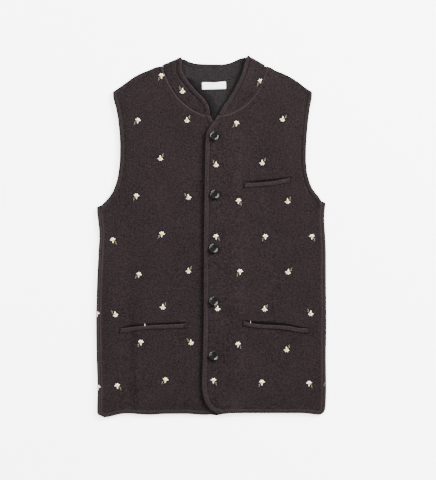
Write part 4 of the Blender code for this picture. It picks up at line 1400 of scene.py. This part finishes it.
# %% The buttons
Ring = namedtuple("Ring", "radius height")
BUTTON_PROFILE = [
    Ring(0.0, 0.9), Ring(6.8, 0.9), Ring(8.1, 1.0), Ring(8.9, 1.4), Ring(9.35, 2.0),
    Ring(9.5, 2.55), Ring(9.42, 3.05), Ring(9.15, 3.5), Ring(8.75, 3.84), Ring(8.25, 4.03),
    Ring(7.75, 4.05), Ring(7.25, 3.88), Ring(6.8, 3.55), Ring(6.4, 3.15), Ring(5.95, 2.8),
    Ring(5.3, 2.55), Ring(4.2, 2.42), Ring(2.8, 2.4), Ring(0.0, 2.42),
]
BUTTON_STEPS = 56
BUTTON_TURN = 0.35
HOLE_RADIUS = 0.76
HOLE_PLACE = 1.55
STREAK_GAIN = 2.6


def turn_profile(name, profile, steps, material):
    """A closed solid of revolution about Z."""
    shape = bmesh.new()
    points = [shape.verts.new((ring.radius, 0, ring.height)) for ring in profile]
    edges = [shape.edges.new(pair) for pair in zip(points[:-1], points[1:])]
    bmesh.ops.spin(shape, geom=points + edges, cent=(0, 0, 0), axis=(0, 0, 1),
                   angle=2 * math.pi, steps=steps, use_merge=True)
    bmesh.ops.remove_doubles(shape, verts=shape.verts[:], dist=0.001)
    bmesh.ops.recalc_face_normals(shape, faces=shape.faces[:])
    return finish_mesh(name, shape, [material])


def make_button_material():
    """Polished dark resin with faint cloudy streaks and fine scratches on the gloss."""
    material, tree, shader = new_material("button resin", BUTTON_COLOUR, 0.16)
    place = add_node(tree, "ShaderNodeTexCoord").outputs["Object"]
    cloud = add_node(tree, "ShaderNodeTexNoise", {"Vector": place, "Scale": 260.0, "Detail": 3.0,
                                                  "Distortion": 1.2})
    tint = mix_colours(tree, cloud.outputs["Fac"], BUTTON_COLOUR, shaded(BUTTON_COLOUR, STREAK_GAIN))
    tree.links.new(tint, shader.inputs["Base Color"])
    shader.inputs["Specular IOR Level"].default_value = 0.16
    wear_and_highlight = add_node(tree, "ShaderNodeTexNoise", {"Vector": place, "Scale": 1400.0, "Detail": 2.0})
    gloss = add_node(tree, "ShaderNodeMapRange", {"Value": wear_and_highlight.outputs["Fac"], "To Min": 0.08,
                                                  "To Max": 0.18})
    tree.links.new(gloss.outputs["Result"], shader.inputs["Roughness"])
    return material


RESIN = make_button_material()


def drill(disc):
    """Cuts four sewing holes with a Boolean and keeps the result."""
    drills = bmesh.new()
    for turn in range(4):
        angle = math.pi / 4 + turn * math.pi / 2
        spot = Matrix.Translation((HOLE_PLACE * math.cos(angle), HOLE_PLACE * math.sin(angle), 2))
        bmesh.ops.create_cone(drills, cap_ends=True, segments=16, radius1=HOLE_RADIUS,
                              radius2=HOLE_RADIUS, depth=6.0, matrix=spot)
    cutter = finish_mesh("hole_cutter", drills, [RESIN])
    cut = disc.modifiers.new("holes", "BOOLEAN")
    cut.operation = "DIFFERENCE"
    cut.object = cutter
    bpy.context.view_layer.update()
    drilled = bpy.data.meshes.new_from_object(disc.evaluated_get(bpy.context.evaluated_depsgraph_get()))
    bpy.data.objects.remove(cutter)
    bpy.data.objects.remove(disc)
    return drilled


BUTTON_MESH = drill(turn_profile("button_blank", BUTTON_PROFILE, BUTTON_STEPS, RESIN))
BUTTON_NODES = ["button_%d" % number for number in range(1, 6)]


def seat_of(node):
    """Middle of a node's foot, in metres of the model."""
    low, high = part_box(node)
    return Vector(((low.x + high.x) / 2, (low.y + high.y) / 2, low.z))


def make_button(node):
    mesh = BUTTON_MESH.copy()
    turn = Matrix.Rotation(BUTTON_TURN * int(node[-1]), 4, "Z")
    mesh.transform(Matrix.Translation(seat_of(node)) @ turn @ Matrix.Scale(MM, 4))
    mesh.shade_smooth()
    mesh.set_sharp_from_angle(angle=math.radians(40))
    piece = bpy.data.objects.new(node + "_turned", mesh)
    bpy.context.scene.collection.objects.link(piece)
    return piece


buttons = {node: make_button(node) for node in BUTTON_NODES}
print("button: %d faces" % len(BUTTON_MESH.polygons))

# %% [markdown]
# ## Threads
# Every visible stitch is a short loop of thread that dives into the cloth at both ends. A squashed
# sphere with two dozen faces is enough for one, because thousands are needed. Copies of that one
# template are stretched from the place where the needle came up to the place where it went down.
# The height of the cloth there is found with a ray shot straight at it.

# %% Thread helpers
SHOOT_FROM = 20.0
THREAD_WIDTH = 0.75
THREAD_HEIGHT = 0.5
SHORTEST_STITCH = 0.05


def make_template():
    ball = bmesh.new()
    bmesh.ops.create_uvsphere(ball, u_segments=6, v_segments=4, radius=0.5)
    mesh = bpy.data.meshes.new("stitch_template")
    ball.to_mesh(mesh)
    ball.free()
    mesh.shade_smooth()
    return mesh


STITCH_TEMPLATE = make_template()
bpy.context.view_layer.update()
DEPSGRAPH = bpy.context.evaluated_depsgraph_get()
TREES = {name: BVHTree.FromObject(piece, DEPSGRAPH) for name, piece in CLOTH_PIECES.items()}


def land(name, place, facing=UP):
    """The point of a piece's face that a needle meets from outside, or None."""
    start = to_model(place + facing * SHOOT_FROM)
    spot = TREES[name].ray_cast(start, -facing, 2 * SHOOT_FROM * MM)[0]
    if spot is None:
        return None
    return to_garment(spot)


def land_on_top(names, place, facing=UP):
    """The outermost of the points where a needle meets any of these pieces."""
    spots = [land(name, place, facing) for name in names]
    spots = [spot for spot in spots if spot is not None]
    return max(spots, key=lambda spot: spot.dot(facing)) if spots else None


Stitch = namedtuple("Stitch", "start end facing width height")


def stitch_matrix(stitch):
    """Stretches the template from the start of a stitch to its end."""
    along = stitch.end - stitch.start
    x = along.normalized()
    y = stitch.facing.cross(x).normalized()
    z = x.cross(y)
    turn = Matrix((x, y, z)).transposed().to_4x4()
    sizes = Matrix.Diagonal((along.length + stitch.width * 0.5, stitch.width, stitch.height, 1.0))
    middle = (stitch.start + stitch.end) / 2 + stitch.facing * stitch.height * 0.25
    return Matrix.Translation(to_model(middle)) @ Matrix.Scale(MM, 4) @ turn @ sizes


def sew(name, stitches, material):
    """Joins all the stitches of one thread into one piece."""
    shape = bmesh.new()
    for stitch in stitches:
        if (stitch.end - stitch.start).length > SHORTEST_STITCH:
            strand = STITCH_TEMPLATE.copy()
            strand.transform(stitch_matrix(stitch))
            shape.from_mesh(strand)
            bpy.data.meshes.remove(strand)
    for vert in shape.verts:
        vert.co.z = max(vert.co.z, REST_CLEAR * MM)
    piece = finish_mesh(name, shape, [material])
    print("%s: %d stitches" % (name, len(stitches)))
    return piece


# %% [markdown]
# ## Topstitching
# The edges are turned in and held by one row of stitches, about 8.5 mm from the edge. The row is
# the edge's own line moved inwards. Where a corner is tight the moved line would fold over itself,
# so points that come too close to the edge are dropped. The hem has a second row.

# %% Topstitching
STITCH_PITCH = 3.7
STITCH_LENGTH = 2.7
INSET_SLACK = 0.3
HEM_BELOW, HEM_BESIDE = 9.0, 16.0
WITHIN_BACK = Vector((0, 330, 0))


def inset_line(line, gap, left):
    """The line moved sideways by a gap, to the left of its direction or to the right."""
    measure = edge_ruler(line)
    moved = []
    for k, point in enumerate(line):
        ahead = line[min(k + 1, len(line) - 1)] - line[max(k - 1, 0)]
        across = Vector((-ahead.y, ahead.x, 0.0)).normalized()
        place = point + across * (gap if left else -gap)
        if measure(place.x, place.y)[0] > gap - INSET_SLACK:
            moved.append(place)
    return moved


def stitch_places(line):
    """Pairs of stations for stitches of even length along a line."""
    stations = [0.0]
    for before, after in zip(line[:-1], line[1:]):
        stations.append(stations[-1] + max(0.001, (after - before).length))
    spots = []
    for k in range(int(stations[-1] / STITCH_PITCH)):
        pair = []
        for station in (k * STITCH_PITCH, k * STITCH_PITCH + STITCH_LENGTH):
            i = min(len(line) - 2, max(0, bisect_right(stations, station) - 1))
            share = (station - stations[i]) / (stations[i + 1] - stations[i])
            pair.append(line[i].lerp(line[i + 1], share))
        spots.append(pair)
    return spots


def row_of_stitches(name, line, facing=UP, over=()):
    """Stitches along a line on one piece, left out where another piece covers them."""
    stitches = []
    for start, end in stitch_places(line):
        spots = [land(name, place, facing) for place in (start, end)]
        if None in spots:
            continue
        covers = [land_on_top(over, place, facing) for place in (start, end)] if over else []
        if any(cover is not None for cover in covers):
            continue
        stitches.append(Stitch(spots[0], spots[1], facing, THREAD_WIDTH, THREAD_HEIGHT))
    return stitches


def front_stitches(name, lines, left, over):
    hem = [place for place in lines["opening"] if place.y < HEM_BELOW and abs(place.x) > HEM_BESIDE]
    opening = inset_line(lines["opening"], STITCH_LINE, left)
    armhole = inset_line(lines["armhole"], STITCH_LINE, not left)
    second = inset_line(hem, HEM_SECOND_LINE, left)
    stitches = row_of_stitches(name, opening, UP, over)
    stitches += row_of_stitches(name, armhole, UP, over)
    return stitches + row_of_stitches(name, second, UP, over)


def collar_stitches():
    """One row along the free edge of the collar, on its outside, round both folds."""
    stitches = []
    facings = [facing for place, facing in COLLAR_STITCHES]
    line = [place for place, facing in COLLAR_STITCHES]
    for start, end in stitch_places(line):
        middle = start.lerp(end, 0.5)
        nearest = min(range(len(line)), key=lambda k: (line[k] - middle).length_squared)
        facing = facings[nearest]
        spots = [land("collar_cloth", place, facing) for place in (start, end)]
        if None not in spots and facing.z > -0.5:
            stitches.append(Stitch(spots[0], spots[1], facing, THREAD_WIDTH, THREAD_HEIGHT))
    return stitches


TOPSTITCHES = front_stitches("right_front_cloth", RIGHT_LINES, True, ("left_front_cloth",))
TOPSTITCHES += front_stitches("left_front_cloth", LEFT_LINES, False, ())
TOPSTITCHES += collar_stitches()
for line in [BACK_HEM_LINE] + BACK_ARMHOLE_LINES:
    toward = WITHIN_BACK - line[len(line) // 2]
    ahead = line[len(line) // 2 + 1] - line[len(line) // 2]
    moved = inset_line(line, STITCH_LINE, ahead.cross(toward).z > 0)
    TOPSTITCHES += row_of_stitches("back_cloth", moved, -UP)
topstitching = sew("topstitching", TOPSTITCHES, SEWING)

# %% [markdown]
# ## Buttonholes, shanks and tacks
# A buttonhole is a slit whose two lips are overcast with thread, stitch beside stitch, and a dark
# strand laid in the slit is painted shade for its opening. The button sits near one end of it, as
# pulling does in wear. Thread holds the button in two crossed strands and winds into a short shank
# below it. Dark tacks run down the front at each end of a welt, and the label is tacked at both
# ends. One white basting stitch still holds each lower pocket shut, as on a garment that is new.

# %% Buttonholes and sewn-on things
HOLE_FROM, HOLE_TO = -3.0, 13.8
OVERCAST_PITCH = 0.62
OVERCAST_INNER, OVERCAST_OUTER = 0.35, 1.75
STRAND_LIFT = 2.55
TACK_PITCH = 2.0
TACK_OUT = 0.7
TACK_PAST, TACK_WIDTH = 0.6, 1.5
TACK_PARTS, TACK_HEIGHT = (0.1, 0.85), 0.4
OVERCAST_STRAND = (0.7, 0.7)
BAR_PAST, BAR_REACH, BAR_STRAND = 0.4, 1.2, (0.9, 0.7)
# Dark strand laid in a buttonhole slit: painted shade for its opening.
SLIT_SHADOW_STRAND = (0.85, 0.5)
STRAND_DIVE, STRAND_PAST, BUTTON_STRAND = 0.35, 0.1, (0.8, 0.55)
SHANK_STRAND = (0.8, 0.35)
LABEL_TACK_IN, LABEL_TACK_LOW, LABEL_TACK_HIGH = 1.1, 0.7, 1.4
BASTING_ABOVE, BASTING_BELOW, BASTING_HEIGHT = 0.2, 0.3, 0.6
SHANK_LEVELS = (0.15, 0.4, 0.65)
SHANK_RADIUS = 1.7
SHANK_SIDES = 10


def buttonhole(node):
    """Overcast stitches round a slit, from below the button to beside it."""
    middle = to_garment(seat_of(node)).xy.to_3d()
    stitches = []
    count = round((HOLE_TO - HOLE_FROM) / OVERCAST_PITCH)
    for k in range(count + 1):
        x = middle.x + mix(HOLE_FROM, HOLE_TO, k / count)
        for way in (-1, 1):
            ends = [land("left_front_cloth", Vector((x, middle.y + way * reach, 0)))
                    for reach in (OVERCAST_INNER, OVERCAST_OUTER)]
            stitches.append(Stitch(ends[0], ends[1], UP, *OVERCAST_STRAND))
    tip = middle.x + HOLE_TO + BAR_PAST
    ends = [land("left_front_cloth", Vector((tip, middle.y + reach, 0)))
            for reach in (-BAR_REACH, BAR_REACH)]
    stitches.append(Stitch(ends[0], ends[1], UP, *BAR_STRAND))
    return stitches


# Painted shade: a dark strand along the slit stands for the shadow in its opening.
def slit_shadow(node):
    middle = to_garment(seat_of(node)).xy.to_3d()
    ends = [land("left_front_cloth", middle + Vector((reach, 0, 0))) for reach in (HOLE_FROM, HOLE_TO)]
    return Stitch(ends[0], ends[1], UP, *SLIT_SHADOW_STRAND)


def button_threads(node):
    """Two crossed strands over the dish and a wound shank below the disc."""
    middle = to_garment(seat_of(node))
    stitches = []
    for turn in range(4):
        angle = math.pi / 4 + turn * math.pi / 2 + BUTTON_TURN * int(node[-1])
        out = Vector((math.cos(angle), math.sin(angle), 0)) * HOLE_PLACE
        start = middle + out + UP * (STRAND_LIFT - STRAND_DIVE)
        end = middle - out * STRAND_PAST + UP * STRAND_LIFT
        stitches.append(Stitch(start, end, UP, *BUTTON_STRAND))
    for level in SHANK_LEVELS:
        for turn in range(SHANK_SIDES):
            angles = [(turn + part) * math.pi / (SHANK_SIDES / 2) for part in (0, 1)]
            ring = [middle + Vector((math.cos(a) * SHANK_RADIUS, math.sin(a) * SHANK_RADIUS, level))
                    for a in angles]
            stitches.append(Stitch(ring[0], ring[1], UP, *SHANK_STRAND))
    return stitches


def tacks(name, start, end, width=0.6):
    """A few short stitches in a line across an edge that is tacked down."""
    count = max(2, round((end - start).length / TACK_PITCH))
    stitches = []
    for k in range(count):
        places = [start.lerp(end, (k + part) / count) for part in TACK_PARTS]
        spots = [land(name, place) for place in places]
        if None not in spots:
            stitches.append(Stitch(spots[0], spots[1], UP, width, TACK_HEIGHT))
    return stitches


HOLE_STITCHES, BUTTON_STITCHES, TACKS = [], [], []
for node in BUTTON_NODES:
    HOLE_STITCHES += buttonhole(node)
    BUTTON_STITCHES += button_threads(node)
for pocket in POCKETS:
    start, end, top, bottom, gape = POCKETS[pocket]
    front = "right_front_cloth" if POCKET_SIDES[pocket] < 0 else "left_front_cloth"
    for x in (start - TACK_OUT, end + TACK_OUT):
        TACKS += tacks(front, Vector((x, bottom(x) - TACK_PAST, 0)),
                       Vector((x, top(x) + TACK_PAST, 0)), TACK_WIDTH)
LABEL_TACKS = []
for x, height in ((LABEL_LEFT_X + LABEL_TACK_IN, LABEL_LEFT_HEIGHT),
                  (LABEL_RIGHT_X - LABEL_TACK_IN, LABEL_RIGHT_HEIGHT)):
    LABEL_TACKS += tacks("label_cloth", Vector((x, height - LABEL_HALF + LABEL_TACK_LOW, 0)),
                         Vector((x, height + LABEL_HALF - LABEL_TACK_HIGH, 0)))
BASTED = (("right", "right_front_cloth", -132.5, 0.9), ("left", "left_front_cloth", 78.5, 0.35))
BASTING = []
for pocket, front, x, width in BASTED:
    start, end, top, bottom, gape = POCKETS[pocket]
    above = land(front, Vector((x, top(x) + gape(x) + BASTING_ABOVE, 0)))
    below = land(pocket + "_welt_cloth", Vector((x, top(x) - BASTING_BELOW, 0)))
    BASTING.append(Stitch(above, below, UP, width, BASTING_HEIGHT))

buttonholes = sew("buttonhole_stitches", HOLE_STITCHES, HOLE_THREAD)
# Painted shade in the buttonhole slits.
slit_shadows = sew("buttonhole_slit_shadows", [slit_shadow(node) for node in BUTTON_NODES], POCKETING)
button_thread = sew("button_thread", BUTTON_STITCHES, SEWING)
tack_stitches = sew("welt_tacks", TACKS, POCKETING)
label_stitches = sew("label_stitches", LABEL_TACKS, PETALS)
basting = sew("pocket_basting", BASTING, PETALS)

# %% [markdown]
# ## Embroidered daisies
# The daisies are satin stitch: each petal is a fan of strands side by side, the heart is a ring of
# knots, and the stem is a row of short back stitches with two leaves. They lie on a loose
# lattice, some upright and some hanging, and the cloth was embroidered before it was cut, so a
# seam cuts through some of them. Bearings are clockwise from the hem-to-collar direction.

# %% Daisies
Daisy = namedtuple("Daisy", "x height bearing side piece", defaults=(None,))
FRONT_DAISIES = [
    Daisy(-99.5, 676, 0, 1), Daisy(-57.5, 645, 180, -1), Daisy(98, 665, 0, 1, "collar_cloth"),
    Daisy(-146.5, 587, 10, 1), Daisy(-48.5, 587, 180, 1), Daisy(-101.5, 511, 180, 1),
    Daisy(-149.5, 436, 0, 1), Daisy(-45.5, 433, 168, -1), Daisy(-196.5, 348, -10, -1),
    Daisy(-98.5, 360, 10, 1), Daisy(-144.5, 279, 10, 1), Daisy(-45.5, 286, 180, 1),
    Daisy(-96.5, 214, 180, 1), Daisy(-191.5, 199, 168, -1), Daisy(-228.5, 201, 0, 1),
    Daisy(-140.5, 144, 0, 1), Daisy(-40.5, 143, 168, -1), Daisy(-91.5, 69, 10, 1),
    Daisy(-187.5, 57, -10, -1), Daisy(-226.5, 54, 0, 1), Daisy(50.5, 581, 10, 1),
    Daisy(142.5, 589, 192, 1), Daisy(9.5, 498, 180, -1), Daisy(102, 502, 180, 1),
    Daisy(54.5, 426, 0, -1), Daisy(152.5, 425, 180, 1), Daisy(9.5, 355, -10, -1),
    Daisy(108, 355, 0, 1), Daisy(201, 355, 0, -1), Daisy(57.5, 285, 0, 1),
    Daisy(153.5, 284, 192, 1), Daisy(12.5, 211, 180, -1), Daisy(106.5, 210, 180, 1),
    Daisy(198.5, 201, 180, -1), Daisy(53.5, 140, 0, -1), Daisy(150.5, 129, 180, 1),
    Daisy(4.5, 68, 0, -1), Daisy(101, 64, 0, 1), Daisy(195.5, 62, 0, -1),
    Daisy(230.5, 66, 0, 1),
]
Petal = namedtuple("Petal", "bearing length width")
PETALS_OF_ONE = [Petal(-82, 5.8, 2.3), Petal(-30, 5.2, 2.6), Petal(22, 5.2, 2.6),
                 Petal(72, 5.6, 2.3), Petal(184, 6.5, 2.2)]
STRANDS = 5
PETAL_FROM = 1.1
PETAL_POINT = 0.3
PETAL_ROOT, PETAL_SPREAD = 0.16, 0.36
PETAL_STRAND = (0.85, 0.6)
KNOT_RING = 1.7
KNOTS = 6
KNOT_TURN, KNOT_SHIFT = 20, Vector((0, -0.2, 0))
KNOT_REACH = Vector((0.6, 0, 0))
KNOT_SIZE = (2.4, 1.5)
STEM_STRAND = (0.85, 0.55)
LEAF_STRAND = (1.0, 0.55)
BACK_SEED = 7
BACK_ROWS, BACK_ROW_FROM, ROW_SHIFT = 9, 46, 3
BACK_COLUMNS, BACK_COLUMN_FROM, COLUMN_SHIFT = range(-5, 6), 6, 2
STEM = (Vector((2.6, -1.6, 0)), Vector((4.0, -3.6, 0)), Vector((5.0, -5.8, 0)),
        Vector((5.6, -8.0, 0)), Vector((6.0, -10.2, 0)))
LEAVES = ((Vector((4.3, -4.4, 0)), Vector((6.4, -4.4, 0))),
          (Vector((5.1, -6.4, 0)), Vector((3.8, -7.9, 0))))
COLUMN_PITCH = 49.3
ROW_PITCH = 74.0
BEARINGS = (0, 180, 10, 168, -10, 192)
TOP_PIECES = ("back_cloth", "right_front_cloth", "left_front_cloth", "collar_cloth")


def direction(bearing):
    angle = math.radians(bearing)
    return Vector((math.sin(angle), math.cos(angle), 0))


def flower_marks():
    """Strands of one daisy in its own plane: kind, start, end, width and height."""
    marks = []
    for petal in PETALS_OF_ONE:
        out = direction(petal.bearing)
        across = Vector((out.y, -out.x, 0))
        for k in range(STRANDS):
            share = 2.0 * k / (STRANDS - 1) - 1.0
            tip = petal.length * (1.0 - PETAL_POINT * share * share)
            start = out * PETAL_FROM + across * share * petal.width * PETAL_ROOT
            end = out * tip + across * share * petal.width * PETAL_SPREAD
            marks.append(("petals", start, end, *PETAL_STRAND))
    for k in range(KNOTS):
        spot = direction(k * 360 / KNOTS + KNOT_TURN) * KNOT_RING + KNOT_SHIFT
        marks.append(("centres", spot - KNOT_REACH, spot + KNOT_REACH, *KNOT_SIZE))
    for start, end in zip(STEM[:-1], STEM[1:]):
        marks.append(("stems", start, end, *STEM_STRAND))
    for start, end in LEAVES:
        marks.append(("stems", start, end, *LEAF_STRAND))
    return marks


MARKS = flower_marks()


def embroider(daisy, facing):
    """Lays the strands of one daisy on the cloth and leaves out those that miss it."""
    laid = []
    turn = direction(daisy.bearing)
    across = Vector((turn.y, -turn.x, 0))
    for kind, start, end, width, height in MARKS:
        spots = []
        for local in (start, end):
            place = Vector((daisy.x, daisy.height, 0))
            place += turn * local.y - across * local.x * daisy.side
            spot = land_on_top(TOP_PIECES, place, facing)
            if daisy.piece and spot != land(daisy.piece, place, facing):
                spot = None
            spots.append(spot)
        if None in spots or abs(spots[0].z - spots[1].z) > 1.0:
            continue
        laid.append((kind, Stitch(spots[0], spots[1], facing, width, height)))
    return laid


def back_daisies():
    """The same loose lattice on the back, which lies face down."""
    picks = random.Random(BACK_SEED)
    daisies = []
    for row in range(BACK_ROWS):
        height = BACK_ROW_FROM + row * ROW_PITCH
        for column in BACK_COLUMNS:
            if (row + column) % 2:
                x = BACK_COLUMN_FROM + column * COLUMN_PITCH
                daisies.append(Daisy(x + picks.uniform(-COLUMN_SHIFT, COLUMN_SHIFT),
                                     height + picks.uniform(-ROW_SHIFT, ROW_SHIFT),
                                     picks.choice(BEARINGS), picks.choice((-1, 1))))
    return daisies


EMBROIDERY = {"petals": [], "centres": [], "stems": []}
for daisies, facing in ((FRONT_DAISIES, UP), (back_daisies(), -UP)):
    for daisy in daisies:
        for kind, stitch in embroider(daisy, facing):
            EMBROIDERY[kind].append(stitch)
daisy_petals = sew("daisy_petals", EMBROIDERY["petals"], PETALS)
daisy_centres = sew("daisy_centres", EMBROIDERY["centres"], CENTRES)
daisy_stems = sew("daisy_stems", EMBROIDERY["stems"], STEMS)

# %% [markdown]
# ## Floor, light and camera
# The gilet lies on a plain white floor, which glows a little, because a photographer lights such
# a floor until it is white all over. A big soft panel stands at the upper right, so the lapped
# edge throws its shadow onto the front below it, and a smaller one at the upper left softens that
# shadow. Four cards of light are seen in reflections alone, and they put the bright arcs on the
# buttons' rims. The camera looks straight down, as the photographer's did.

# %% Floor, light and camera
FLOOR_SIZE = 6.0
FLOOR_GLOW = 3.2
KEY_PLACE, KEY_SIZE, KEY_WATTS = (3.7, 2.5, 2.1), 2.0, 1700
FILL_PLACE, FILL_SIZE, FILL_WATTS = (-2.4, 1.8, 2.6), 1.0, 220
WORLD_LIGHT = 0.95
CARDS = ((107, 560), (140, 700), (173, 460), (315, 170))
CARD_AWAY = 2.6
CARD_HEIGHT = 2.2
CARD_SIZE = 1.3
CAMERA_HEIGHT = 3.2
CAMERA_LENS = 120.0
CAMERA_X, CAMERA_Y = 0.0135, -0.0075


def make_floor():
    grid = bmesh.new()
    bmesh.ops.create_grid(grid, x_segments=2, y_segments=2, size=FLOOR_SIZE / 2)
    material, tree, shader = new_material("pale floor", FLOOR_COLOUR, 0.95)
    shader.inputs["Specular IOR Level"].default_value = 0.1
    shader.inputs["Emission Color"].default_value = (1.0, 1.0, 1.0, 1.0)
    shader.inputs["Emission Strength"].default_value = FLOOR_GLOW
    return finish_mesh("floor", grid, [material])


def soft_panel(name, place, size, watts):
    """A square panel of light that faces the middle of the floor."""
    lamp = bpy.data.lights.new(name, "AREA")
    lamp.shape = "SQUARE"
    lamp.size = size
    lamp.energy = watts
    panel = bpy.data.objects.new(name, lamp)
    panel.location = place
    panel.rotation_euler = (-Vector(place)).to_track_quat("-Z", "Y").to_euler()
    bpy.context.scene.collection.objects.link(panel)
    return panel


floor = make_floor()
key = soft_panel("key", KEY_PLACE, KEY_SIZE, KEY_WATTS)
key.visible_glossy = False
soft_panel("fill", FILL_PLACE, FILL_SIZE, FILL_WATTS)
for bearing, watts in CARDS:
    angle = math.radians(bearing)
    place = (CARD_AWAY * math.cos(angle), CARD_AWAY * math.sin(angle), CARD_HEIGHT)
    card = soft_panel("card", place, CARD_SIZE, watts)
    card.visible_diffuse = False


world = bpy.data.worlds.new("white studio")
world.use_nodes = True
world.node_tree.nodes["Background"].inputs["Color"].default_value = (1, 1, 1, 1)
world.node_tree.nodes["Background"].inputs["Strength"].default_value = WORLD_LIGHT
bpy.context.scene.world = world

lens = bpy.data.cameras.new("camera")
lens.lens = CAMERA_LENS
camera = bpy.data.objects.new("camera", lens)
camera.location = (CAMERA_X, CAMERA_Y, CAMERA_HEIGHT)
bpy.context.scene.collection.objects.link(camera)
bpy.context.scene.camera = camera
print("camera stands %.1f m above the floor" % CAMERA_HEIGHT)

# %% [markdown]
# ## Cloth and bodies
# The gilet has no joints, so everything rides on its one body. Each piece of cloth says which
# solid it stands for and the size it was cut to, laid flat on the cutting table.

# %% What each piece is
Cut = namedtuple("Cut", "piece node slot flat area held rests_on extras")
CUTS = [
    Cut(back, "back", "wool_back", (0.545, 0.665), 0.294, "laid", (), ()),
    Cut(right_front, "right_front", "wool_front", (0.262, 0.722), 0.156, "laid",
        ("back_cloth",), ("right_pocket_lining",)),
    Cut(left_front, "left_front", "wool_front", (0.245, 0.722), 0.148, "laid",
        ("right_front_cloth", "back_cloth"), ("left_pocket_lining", "chest_pocket_lining")),
    Cut(collar, "collar", "wool_collar", (0.412, 0.050), 0.0154, "folded",
        ("right_front_cloth", "left_front_cloth", "back_cloth"), ()),
    Cut(welts["chest"], "chest_welt", "wool_front", (0.0935, 0.0125), None, "laid",
        ("left_front_cloth",), ()),
    Cut(welts["right"], "right_welt", "wool_front", (0.135, 0.0115), None, "laid",
        ("right_front_cloth",), ()),
    Cut(welts["left"], "left_welt", "wool_front", (0.133, 0.0105), None, "laid",
        ("left_front_cloth",), ()),
    Cut(label, "label", "label_tape", (0.048, 0.0148), None, "laid", ("back_cloth",), ()),
]

for cut in CUTS:
    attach(cut.piece, "root")
    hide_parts(cut.node)
    list(cut.rests_on)
    list(cut.extras)

for node, button in buttons.items():
    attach(button, "root")
    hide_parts(node)
SEWN_ON = [topstitching, buttonholes, slit_shadows, button_thread, tack_stitches, *linings.values()]
for piece in SEWN_ON:
    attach(piece, "root")
for piece in (label_stitches, basting, daisy_petals, daisy_centres, daisy_stems):
    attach(piece, "root")
